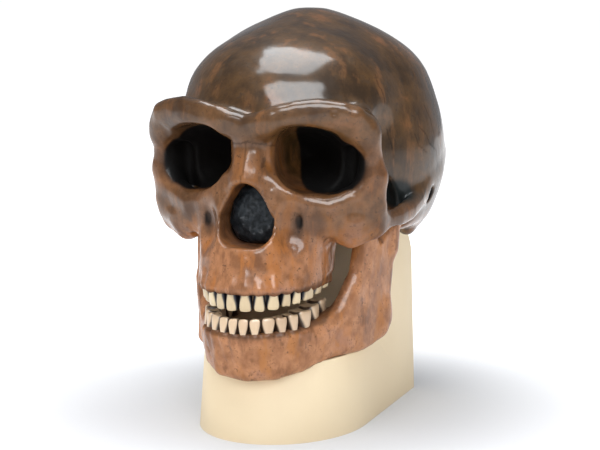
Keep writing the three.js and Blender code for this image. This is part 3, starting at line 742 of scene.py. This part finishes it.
def lower_jaw():
    condyle = rod((44, -15.5, -12.6), (56.5, -14.5, -12), 4.6, 4.4)
    neck = rod((50, -17, -15), (50.5, -21, -30), 5, 4.6)
    corner = ellipsoid((47.5, -26, -66), (5.5, 7.5, 10))
    oblique = chain([(40.5, -52, -47, 4.4), (36, -60, -60, 4.8), (29.5, -72, -70, 4.5)])
    walls = (bone_wall(JAW_BODY, 4.5), bone_wall(JAW_BRANCH, 3))
    bone = joined(5, *walls, condyle, neck, corner, oblique)
    nerve_hole = rod((21, -95, -76), (22, -84, -75), 1.5, 1.2)
    return mirrored(carved(1, joined(1.5, bone, lower_roots()), nerve_hole))


jaw_form = lower_jaw()
print("jaw form in the chin:", jaw_form(np.array([(0.0, -96.0, -80.0)])))

# %% [markdown]
# A bone piece is made as a sculptor would: copy the CAD bones, swell them a hair so that
# the thin cuts between them close, and fuse them with a voxel remesh. The fused surface
# is settled on the form and remeshed, twice, which evens its grid, and then it is relaxed
# and settled a last time.

# %% Copying and remeshing
def copy_of_nodes(name, nodes):
    """One mesh with merged copies of CAD nodes."""
    shape = bmesh.new()
    for node in nodes:
        shape.from_mesh(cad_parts[node].data)
    bmesh.ops.remove_doubles(shape, verts=shape.verts, dist=TINY)
    return mesh_object(name, shape)


def apply_modifiers(piece):
    graph = bpy.context.evaluated_depsgraph_get()
    data = bpy.data.meshes.new_from_object(piece.evaluated_get(graph))
    piece.modifiers.clear()
    piece.data = data


def remesh(piece, voxel, swell=0):
    if swell:
        piece.modifiers.new("swell", "DISPLACE").strength = swell
        piece.modifiers["swell"].mid_level = 0
    fuse = piece.modifiers.new("fuse", "REMESH")
    fuse.mode = "VOXEL"
    fuse.voxel_size = voxel
    apply_modifiers(piece)


def points_of(piece):
    """Vertices in millimetres in the skull's own frame."""
    flat = np.empty(len(piece.data.vertices) * 3, np.float32)
    piece.data.vertices.foreach_get("co", flat)
    return flat.reshape(-1, 3).astype(float) * 1000 - SKULL_ORIGIN


def move_points(piece, points):
    flat = ((points + SKULL_ORIGIN) / 1000).astype(np.float32).ravel()
    piece.data.vertices.foreach_set("co", flat)
    piece.data.update()


print("remeshing ready")


# %% Cleaning and evening a mesh
def keep_largest(piece):
    """Drops any small shell that the remesh left inside."""
    shape = bmesh.new()
    shape.from_mesh(piece.data)
    shape.verts.ensure_lookup_table()
    group = [-1] * len(shape.verts)
    sizes = []
    for seed in shape.verts:
        if group[seed.index] >= 0:
            continue
        group[seed.index] = len(sizes)
        stack, count = [seed], 0
        while stack:
            vertex = stack.pop()
            count += 1
            for edge in vertex.link_edges:
                other = edge.other_vert(vertex)
                if group[other.index] < 0:
                    group[other.index] = len(sizes)
                    stack.append(other)
        sizes.append(count)
    best = sizes.index(max(sizes))
    loose = [vertex for vertex in shape.verts if group[vertex.index] != best]
    bmesh.ops.delete(shape, geom=loose, context="VERTS")
    shape.to_mesh(piece.data)
    shape.free()
    return len(sizes)


def relaxed(piece, points, passes):
    """Points drawn halfway to the mean of their neighbours, to even the grid."""
    flat = np.empty(len(piece.data.edges) * 2, np.int32)
    piece.data.edges.foreach_get("vertices", flat)
    a, b = flat.reshape(-1, 2).T
    count = np.bincount(a, minlength=len(points)) + np.bincount(b, minlength=len(points))
    for _ in range(passes):
        total = [
            np.bincount(a, column[b], len(points)) + np.bincount(b, column[a], len(points))
            for column in points.T
        ]
        points = points + (np.column_stack(total) / count[:, None] - points) * 0.5
    return points


print("relaxing ready")

# %% Bone pieces
SWELL = 0.00035
SKULL_VOXEL = 0.0012
JAW_VOXEL = 0.001


def bone_piece(name, nodes, form, voxel):
    piece = copy_of_nodes(name, nodes)
    remesh(piece, voxel, swell=SWELL)
    for passes in (5, 3):
        move_points(piece, settled(points_of(piece), form, passes))
        remesh(piece, voxel)
    shells = keep_largest(piece)
    points = relaxed(piece, points_of(piece), 3)
    move_points(piece, settled(points, form, 2))
    print(name, len(piece.data.polygons), "faces,", shells, "shells")
    return piece


SKULL_NODES = [
    "frontal", "parietals", "occipital", "temporal_left", "temporal_right", "cranial_base",
    "cheekbone_left", "cheekbone_right", "upper_jaw",
]
skull_bone = bone_piece("skull_bone", SKULL_NODES, cranium_form, SKULL_VOXEL)
jaw_bone = bone_piece("jaw_bone", ["lower_jaw"], jaw_form, JAW_VOXEL)

# %% [markdown]
# Real bone is never as even as a form. Slow waves a few millimetres long and a scatter of
# shallow dents are pressed into the surface along its own slope. The waves are sums of
# sines with seeded directions, so that they come out the same each time. Soft limits at
# the front and the top keep the bone inside the CAD box.

# %% Waves and dents
DENT_DEPTH = 0.4
DENT_RADII = (1.2, 2.6)
DEEPEST, HIGHEST = -0.7, 0.35
CLEARANCE = 0.15
FRONT_LIMIT = cad_box[0][1] * 1000 - SKULL_ORIGIN[1] + CLEARANCE
TOP_LIMIT = cad_box[1][2] * 1000 - SKULL_ORIGIN[2] - CLEARANCE


def waves(points, size, seed):
    """Smooth noise between about -1 and 1, with features about this many mm apart."""
    draw = np.random.default_rng(seed)
    total = np.zeros(len(points))
    for _ in range(14):
        direction = draw.normal(size=3)
        direction = direction / np.linalg.norm(direction) * draw.uniform(0.7, 1.4)
        total += np.sin(points @ direction * (2 * math.pi / size) + draw.uniform(0, 7))
    return total / 5


def dents(points, centres, radius):
    press = np.zeros(len(points))
    for centre, size in zip(centres, radius):
        near = np.linalg.norm(points - centre, axis=1)
        press += DENT_DEPTH * np.maximum(1 - (near / size) ** 2, 0) ** 2
    return press


def roughen(piece, form, seed, count):
    points = points_of(piece)
    slope = slope_of(form, points, form(points))
    normal = slope / np.maximum(np.linalg.norm(slope, axis=1, keepdims=True), TINY)
    draw = np.random.default_rng(seed)
    centres = points[draw.integers(0, len(points), count)]
    face = 0.2 + 0.8 * ramp(-points[:, 1], 45, 75) * ramp(-points[:, 2], -52, -44)
    pits = dents(points, centres, draw.uniform(*DENT_RADII, count)) * face
    lift = (0.03 + 0.1 * face) * waves(points, 19, seed + 1)
    lift += (0.01 + 0.1 * face) * waves(points, 7, seed + 2)
    points = points + normal * np.clip(lift - pits, DEEPEST, HIGHEST)[:, None]
    points[:, 1] = soft_max(points[:, 1], FRONT_LIMIT, 2)
    points[:, 2] = soft_min(points[:, 2], TOP_LIMIT, 1)
    move_points(piece, points)


roughen(skull_bone, cranium_form, 11, 200)
roughen(jaw_bone, jaw_form, 23, 90)
print("largest dents in mm", DENT_DEPTH)

# %% [markdown]
# Where the cast is dark or painted is stored on the vertices as three named values, like
# brush strokes. "dark" is painted shade in the depths of the sockets, the nose and the small
# holes, the thin sutures and cracks, and the stain at the tooth necks with painted shade
# along the gum line, "warm" is the browner face, and "slate" the grey patch at the temple.
# Values on the vertices follow the bone's own forms, which a pattern alone couldn't do.

# %% Brush strokes
def store(piece, name, values):
    layer = piece.data.attributes.new(name, "FLOAT", "POINT")
    layer.data.foreach_set("value", np.clip(values, 0, 1).astype(np.float32))


def strokes(points, drop, paths, width):
    """1 on lines seen straight on, without the dropped axis, and 0 past their width."""
    keep = np.ones(3)
    keep[drop] = 0
    seen = points * keep
    best = np.full(len(points), FAR)
    for path in paths:
        for a, b in zip(path[:-1], path[1:]):
            best = np.minimum(best, rod(np.array(a) * keep, np.array(b) * keep, 0)(seen))
    return 1 - ramp(best, width * 0.4, width)


def spot(points, centre, stretch, start, end):
    """1 at a place, and 0 past the end distance."""
    return 1 - ramp(np.linalg.norm((points - centre) / stretch, axis=1), start, end)


def left_side(points):
    return np.column_stack((np.abs(points[:, 0]), points[:, 1:]))


def flattened(points, y):
    return points * (1, 0, 1) + (0, y, 0)


NOSE_SUTURES = [
    [(-11, 0, 27.6), (-7, 0, 28.6), (-3, 0, 28.2), (0.7, 0, 29.5), (6, 0, 28.8), (11, 0, 27.4)],
    [(0.9, 0, 29.2), (0.3, 0, 25), (1, 0, 21), (0.4, 0, 16), (-0.5, 0, 11), (-0.8, 0, 8)],
    [(8.4, 0, 21.5), (8.2, 0, 17)],
]
SIDE_CRACKS = [
    [(0, -45, 61), (0, -46.5, 56), (0, -44.4, 52), (0, -44, 47)],
    [(0, -41.5, 34), (0, -40, 28), (0, -38.8, 24), (0, -38.2, 19)],
    [(0, -18, 34), (0, -12, 29), (0, -9, 24), (0, 0, 20), (0, 3, 12)],
    [(0, -22, 30), (0, -20, 24), (0, -13, 20)],
    [(0, -8, 44), (0, -4, 36), (0, -3, 30)],
]
# Painted shade in small holes and hollows: under the eye, behind the teeth, the ear hole and the
# tear groove.
PAINTED_SHADE_SPOTS = {
    "under the eye": (0.8, (24.6, -86.5, -10.5), (1, 1, 1.9), 1, 3),
    "behind the teeth": (0.85, (36.5, -76, -24), (1, 1, 1.7), 2, 4.4),
    "ear hole": (1, (66, -1, -3.4), (1, 1, 1), 3, 5),
    "tear groove": (0.5, (15.5, -86, 13.5), (1, 1.4, 2.2), 1, 3.4),
}
print("strokes", len(NOSE_SUTURES) + len(SIDE_CRACKS), "and dark spots", list(PAINTED_SHADE_SPOTS))

# %% Dark places of the skull
skull_points = points_of(skull_bone)
side = left_side(skull_points)
x, y, z = side.T
sutures = strokes(skull_points, 1, NOSE_SUTURES, 0.9) * (y < -80) * (z > 4)
cracks = strokes(skull_points, 0, SIDE_CRACKS, 0.8) * (skull_points[:, 0] > 40) * (z > 8)
# Stain and painted shade along the gum line above the upper teeth.
gum_stain_and_shade = (1 - ramp(z - gum_height(UPPER_ROW, y), 0.2, 2.4)) * (y < -46) * (z < -30)
lines = [0.45 * part for part in (sutures, cracks, gum_stain_and_shade)]
# Painted shade in the small holes and hollows listed above.
spots = [depth * spot(side, *place) for depth, *place in PAINTED_SHADE_SPOTS.values()]

# Painted shade: behind the rims of the eye sockets the bone goes dark to black, more slowly
# along the inner wall.
rim_value = eye_socket(flattened(side, SOCKET_RIM)) - 3.6 * ramp(x, 42, 50)
past_pillar = ramp(x + 0.9 * (y + 60), 50, 54)
inner_wall = 1 - ramp(x, 17, 24)
behind_rim = y - (-87 + (x - 14) * 0.31)
hollow = (behind_rim - 8 * inner_wall) / (1 + 2 * inner_wall)
in_socket = (1 - ramp(rim_value, -0.9, 0.5)) * (1 - past_pillar) * (y < -30)
socket_painted_shade = in_socket * ramp(hollow, -1.5, 2.5)
# Painted shade: the walls inside the nose opening go dark, darkest deep inside.
in_nose = (1 - ramp(nose_opening(flattened(side, -100)), -1, 0.5)) * (y < -76)
nose_painted_shade = in_nose * (0.72 + 0.28 * ramp(y, -98, -90)) * ramp(y, -104, -101)
store(skull_bone, "dark", np.max([socket_painted_shade, nose_painted_shade, *spots, *lines], axis=0))
print("vertices in the dark sockets", int((socket_painted_shade > 0.5).sum()))

# %% Warm and slate places of the skull
crest_x, crest_y, crest_z = np.array(BROW_CREST).T[:3]
above_crest = z - np.interp(x, crest_x, crest_z)
behind_crest = y - np.interp(x, crest_x, crest_y)
on_vault = ramp(above_crest + behind_crest * 0.6, 0.6, 4) * (z > 20)
behind_face = ramp(y, -70, -62) * ramp(z, -7, -2)
far_back = ramp(y, -20, 20)
face_part = 1 - np.max([on_vault, behind_face, far_back], axis=0)
cheeks = ramp(x, 27, 38) * ramp(-z, -8, 0) * (1 - ramp(-z, 15, 26))
level = 0.12 + 0.3 * ramp(-z, -36, -20) - 0.18 * cheeks + 0.5 * ramp(-z, 6, 26)
store(skull_bone, "warm", face_part * level)
temple = spot(side, (57, -32, -1), (11, 16, 9), 0.7, 1.15) * ramp(x, 44, 50) * (y > -50)
eye_halo = spot(side, (24.6, -87, -12), (1, 1, 2.2), 1.5, 4.5)
store(skull_bone, "slate", np.maximum(temple, 0.55 * eye_halo))
print("painted", len(side), "vertices of the skull")

# %% Painting the lower jaw
LOWER_REACH = 35
side = left_side(points_of(jaw_bone))
y, z = side[:, 1], side[:, 2]
near_row = 1 - ramp(np.abs(row_plan(LOWER_ROW, LOWER_REACH)(side) + 3), 5, 8)
# Stain and painted shade along the gum line of the lower teeth.
gum_stain_and_shade = ramp(z - gum_height(LOWER_ROW, y), -3, -0.4) * near_row * (y < -46)
# Painted shade in the nerve hole on the side of the jaw.
hole = spot(side, (21.5, -87.5, -75.5), (1, 1, 1), 1.6, 3.2)
store(jaw_bone, "dark", np.maximum(gum_stain_and_shade * 0.5, hole))
store(jaw_bone, "warm", np.ones(len(side)))
store(jaw_bone, "slate", np.zeros(len(side)))
print("painted", len(side), "vertices of the jaw")

# %% [markdown]
# A tooth starts as a cube cut into a grid. Each of its points is moved: rounded corners,
# widest a third of the way up from the biting edge, drawn in at the neck, and tapered in
# the root. Front teeth are thin at the edge and grinding teeth have low cusps.

# %% Shape of one tooth
CUTS = 5
ROOT_LENGTH = 3.2
UPPER_SET = {
    "bite": -53.8, "rise": 0.14, "set_in": 1.9, "crown_add": 1.2, "snug": 0.85, "taper": 0.26,
}
LOWER_SET = {
    "bite": -57.2, "rise": 0.1, "set_in": 1.6, "crown_add": 1.4, "snug": 0.95, "taper": 0.48,
}
EDGE_DEPTH = {"incisor": 0.42, "canine": 0.5, "premolar": 0.86, "molar": 0.92}
SQUARENESS = {"incisor": 3.2, "canine": 2.6, "premolar": 2.8, "molar": 3.6}


def crown_shape(kind, width, depth, crown, taper, draw):
    """A bmesh of one tooth: +z to its root, +y to the tongue, its edge at z = 0."""
    shape = bmesh.new()
    stain_and_shade = shape.verts.layers.float.new("neck")
    bmesh.ops.create_cube(shape, size=2)
    bmesh.ops.subdivide_edges(shape, edges=shape.edges, cuts=CUTS, use_grid_fill=True)
    power, thin = SQUARENESS[kind], EDGE_DEPTH[kind]
    grinding = kind in ("premolar", "molar")
    wear = draw.uniform(-0.3, 0.3)
    for vertex in shape.verts:
        u, v, w = vertex.co
        circle = (abs(u) ** power + abs(v) ** power) ** (1 / power)
        shrink = max(abs(u), abs(v)) / circle if circle > 0 else 1
        u, v = u * shrink, v * shrink
        rise = (w + 1) / 2 * (crown + ROOT_LENGTH)
        at = min(rise / crown, 1)
        below = max(rise - crown, 0) / ROOT_LENGTH
        bulge = 0.9 + 0.1 * math.sin(min(at / 0.35, 1) * math.pi / 2)
        across = bulge * (1 - taper * max(at - 0.3, 0) / 0.7) * (1 - 0.3 * below)
        thick = thin + (1 - thin) * min(at / 0.7, 1) ** 0.8
        cusp = 0.55 * (1 - math.cos(u * math.pi)) * (1 - math.cos(v * math.pi)) / 2
        fall = 0.8 - cusp if grinding else 0
        lean = 0 if grinding else -0.16 * depth * (1 - at)
        edge = max(1 - rise / 1.2, 0)
        # The neck value is stain towards the neck and painted shade on the sides that face the
        # gaps between the teeth.
        vertex[stain_and_shade] = 0.6 * rise / crown + 0.95 * u ** 4
        vertex.co = (
            u * across * width / 2 * (1 - 0.05 * edge),
            v * thick * (1 - 0.2 * below) * depth / 2 + lean,
            rise + edge * (wear * u + 0.45 * u * u + fall),
        )
    return shape


print("kinds of tooth", list(SQUARENESS))

# %% [markdown]
# Each tooth is turned to face along its row, with a small seeded turn of its own, and is
# copied into one mesh for the row. A random tone for each tooth keeps them from matching.

# %% Rows of teeth
def tooth_place(side, centre, bite, inward, up, draw):
    turn = math.atan2(-inward[0], inward[1]) + math.radians(draw.uniform(-3, 3))
    place = Matrix.Translation((side * centre[0], centre[1], bite))
    place = place @ Matrix.Rotation(side * turn, 4, "Z")
    return place if up > 0 else place @ Matrix.Rotation(math.pi, 4, "Y")


def add_tooth(row_shape, tooth, tone):
    stain_and_shade = tooth.verts.layers.float["neck"]
    neck_layer, tone_layer = (row_shape.verts.layers.float[name] for name in ("neck", "tone"))
    made = {}
    for vertex in tooth.verts:
        made[vertex.index] = row_shape.verts.new(vertex.co)
        made[vertex.index][neck_layer] = vertex[stain_and_shade]
        made[vertex.index][tone_layer] = tone
    for face in tooth.faces:
        row_shape.faces.new([made[vertex.index] for vertex in face.verts])
    tooth.free()


def tooth_row(name, places, row, fit, up, seed):
    draw = random.Random(seed)
    row_shape = bmesh.new()
    for layer in ("neck", "tone"):
        row_shape.verts.layers.float.new(layer)
    for kind, width, depth, point, inward in places:
        centre = point + inward * (depth / 2 + fit["set_in"])
        bite = fit["bite"] + (centre[1] - BITE_FRONT) * fit["rise"]
        crown = abs(gum_height(row, centre[1]) - bite) + fit["crown_add"]
        size = (width * fit["snug"], depth * 0.96)
        for side in (1, -1):
            tooth = crown_shape(kind, *size, crown, fit["taper"], draw)
            tone = draw.uniform(0, 1)
            place = tooth_place(side, centre, bite, inward, up, draw)
            bmesh.ops.transform(tooth, matrix=place, verts=tooth.verts)
            add_tooth(row_shape, tooth, tone)
    scale = Matrix.Translation(SKULL_ORIGIN / 1000) @ Matrix.Scale(0.001, 4)
    bmesh.ops.transform(row_shape, matrix=scale, verts=row_shape.verts)
    bmesh.ops.recalc_face_normals(row_shape, faces=row_shape.faces)
    piece = mesh_object(name, row_shape)
    piece.modifiers.new("round", "SUBSURF").levels = 1
    apply_modifiers(piece)
    piece.data.shade_smooth()
    print(name, len(piece.data.polygons), "faces")
    return piece


upper_teeth = tooth_row("upper_teeth", upper_places, UPPER_ROW, UPPER_SET, 1, 5)
lower_teeth = tooth_row("lower_teeth", lower_places, LOWER_ROW, LOWER_SET, -1, 9)

# %% [markdown]
# Rock still fills the nose. It is dark, hard and lumpy, with a wet gloss. The CAD lump is
# remeshed finely and cut back to a tilted flat face, because the rock lies a little inside
# the opening. Two sizes of waves are then pressed into that face.

# %% Rock in the nose
ROCK_VOXEL = 0.0006
nose_rock = copy_of_nodes("nose_rock", ["nose_matrix"])
remesh(nose_rock, ROCK_VOXEL)
rock_points = points_of(nose_rock)
flat_face = -88 + 0.1 * (rock_points[:, 2] + 8) + 0.12 * rock_points[:, 0]
cut_back = soft_max(rock_points[:, 1], flat_face, 2)
lumps = 0.3 + 0.25 * waves(rock_points, 12, 31) + 0.12 * waves(rock_points, 4, 32)
front = ramp(-rock_points[:, 1], 81.5, 84)
rock_points[:, 1] = cut_back + np.maximum(lumps, 0) * front
move_points(nose_rock, relaxed(nose_rock, rock_points, 1))
nose_rock.data.shade_smooth()
print("nose_rock", len(nose_rock.data.polygons), "faces")

# %% [markdown]
# The base is a smooth moulded plinth, so the CAD solid keeps its shape. Its facets are
# welded, the sharp edges get a small round, and the curved front is shaded smooth.

# %% Base
EDGE_ROUND = 0.0008
base = copy_of_nodes("base", ["display_base"])
base_round = base.modifiers.new("round", "BEVEL")
base_round.width = EDGE_ROUND
base_round.segments = 2
base_round.limit_method = "ANGLE"
base_round.angle_limit = math.radians(50)
apply_modifiers(base)
base.data.shade_smooth()
base.data.set_sharp_from_angle(angle=math.radians(35))
print("base", len(base.data.polygons), "faces")

# %% [markdown]
# The bone's finish is paint and varnish on a cast. The vault, brow and cheeks are a dark
# grey brown, and the snout and the jaw are lighter and warmer. Each colour is laid over
# the last through a mask at one of three sizes, like glazes, and the varnish is thicker
# over the vault than on the jaw.

# %% Bone finish
def layered(colour, layers):
    """A colour with paints laid over it, each through a mask and to its own strength."""
    for mask, strength, paint in layers:
        colour = (mask * strength).mix(colour, tint(*paint))
    return colour


def bone_finish(name, pink, ochre, dark, gloss):
    material, place, feed = new_material(
        name, Coat_Roughness=0.14, Coat_IOR=1.4, Specular_IOR_Level=0.1
    )
    warm, depth, slate = (place.attribute(value) for value in ("warm", "dark", "slate"))
    broad = place.noise(42, 5, 0.6)
    small = place.noise(170, 4, 0.62)
    fine = place.noise(640, 3, 0.6)
    streak = place.noise(95, 4, 0.6, (1, 1, 0.25))
    blotch = (broad * 0.7 + small * 0.3).between(0.36, 0.64)
    vault = layered(blotch.mix(tint(48, 33, 17), tint(82, 57, 29)), [
        (streak.between(0.54, 0.68), 0.6, (110, 73, 40)),
        (broad.between(0.56, 0.7), 0.5, (120, 76, 44)),
        (small.between(0.55, 0.66), 0.5, (52, 42, 32)),
    ])
    face = layered(blotch.mix(tint(*dark), tint(*pink)), [
        (streak.between(0.5, 0.62), 0.75, ochre),
        (broad.between(0.58, 0.68), 0.5, (132, 100, 88)),
        (small.between(0.6, 0.7), 0.4, (84, 54, 34)),
        ((1 - streak).between(0.54, 0.64), 0.55, (96, 60, 38)),
    ])
    pits = fine.between(0.57, 0.68) * small.between(0.42, 0.58)
    colour = layered(warm.mix(vault, face), [(pits, 0.6, (44, 29, 19))])
    colour = slate.mix(colour, tint(28, 32, 32))
    # Where "dark" is high the bone goes near black: painted shade in the openings and holes, and
    # the sutures, cracks and gum line stain with its painted shade.
    feed("Base Color", depth.between(0.05, 0.85).mix(colour, tint(5, 3, 2)))
    feed("Roughness", 0.36 + 0.18 * small + depth * 0.3)
    feed("Coat Weight", (1 - warm * 0.35) * gloss * (1 - depth) * (1 - slate * 0.7))
    rough_skin = broad.bump(0.25, 0.0015)
    grain = (small + streak * 0.6).bump(0.3 + 0.5 * warm, 0.0009, rough_skin)
    feed("Normal", fine.bump(0.3, 0.00018, grain))
    return material


BONE_FINISHES = {
    skull_bone: ("varnished_skull", (170, 117, 80), (164, 102, 50), (112, 72, 44), 0.85),
    jaw_bone: ("varnished_jaw", (184, 130, 92), (168, 110, 60), (128, 84, 54), 0.7),
}
for piece, values in BONE_FINISHES.items():
    piece.data.materials.append(bone_finish(*values))
    piece.data.shade_smooth()
print("bone finishes", [values[0] for values in BONE_FINISHES.values()])

# %% [markdown]
# Tooth enamel is ivory on the crown and goes through brown to blue black at the neck,
# where stain has gathered, and on the sides between the teeth, where the dark is painted
# shade of the gaps. The lower teeth are creamier and browner.

# %% Tooth finish
def tooth_finish(name, ivory, cream, stain_and_shade, reach):
    material, place, feed = new_material(name, Coat_Roughness=0.15, Coat_Weight=0.35)
    neck = place.attribute("neck")
    tone = place.attribute("tone")
    mottle = place.noise(260, 4, 0.6, (1, 1, 0.4))
    enamel = (tone * 0.6 + mottle * 0.4).mix(tint(*ivory), tint(*cream))
    shade = (neck + (mottle - 0.5) * 0.5).between(*reach)
    feed("Base Color", shade.mix(enamel, tint(*stain_and_shade)))
    feed("Roughness", 0.3 + mottle * 0.2)
    feed("Normal", mottle.bump(0.25, 0.0004))
    return material


# The third colour is neck stain and the painted shade of the gaps between the teeth.
TOOTH_FINISHES = {
    upper_teeth: ("upper_enamel", (214, 194, 156), (178, 156, 122), (20, 19, 28), (0.4, 0.82)),
    lower_teeth: ("lower_enamel", (206, 180, 148), (184, 154, 124), (60, 42, 28), (0.48, 0.9)),
}
for piece, values in TOOTH_FINISHES.items():
    piece.data.materials.append(tooth_finish(*values))
print("tooth finishes", [values[0] for values in TOOTH_FINISHES.values()])

# %% [markdown]
# The rock is blue black with a glassy varnish on its high grains. The base is plain cream
# plastic with a faint cloud in its colour and a very fine grain.

# %% Rock and base finishes
rock_finish, rock_place, rock_feed = new_material(
    "dark_rock", Coat_Roughness=0.08, Specular_IOR_Level=0.15
)
rock_grain = rock_place.noise(420, 4, 0.65)
rock_feed("Base Color", rock_grain.between(0.35, 0.7).mix(tint(13, 17, 20), tint(32, 38, 43)))
rock_feed("Roughness", 0.25 + rock_grain * 0.25)
rock_feed("Coat Weight", rock_grain.between(0.48, 0.62) * 0.7)
rock_feed("Normal", rock_grain.bump(0.6, 0.0008))
nose_rock.data.materials.append(rock_finish)

base_finish, base_place, base_feed = new_material("cream_plastic", Specular_IOR_Level=0.3)
cloud = base_place.noise(14, 3, 0.5)
grain = base_place.noise(900, 2, 0.5)
base_feed("Base Color", cloud.between(0.3, 0.7).mix(tint(228, 208, 173), tint(232, 213, 179)))
base_feed("Roughness", 0.5 + cloud * 0.1)
base_feed("Normal", grain.bump(0.12, 0.0001))
base.data.materials.append(base_finish)
print("rock and base finished")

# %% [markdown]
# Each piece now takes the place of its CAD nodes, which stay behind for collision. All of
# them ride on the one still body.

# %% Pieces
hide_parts(*SKULL_NODES)
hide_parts("upper_jaw")
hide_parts("lower_jaw")
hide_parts("lower_jaw")
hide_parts("nose_matrix")
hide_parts("display_base")
SLOTS = {
    skull_bone: "vault_bone", upper_teeth: "face_bone", jaw_bone: "jaw_bone",
    lower_teeth: "jaw_bone", nose_rock: "dark_rock", base: "cream_base",
}
for piece, slot in SLOTS.items():
    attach(piece, "root")
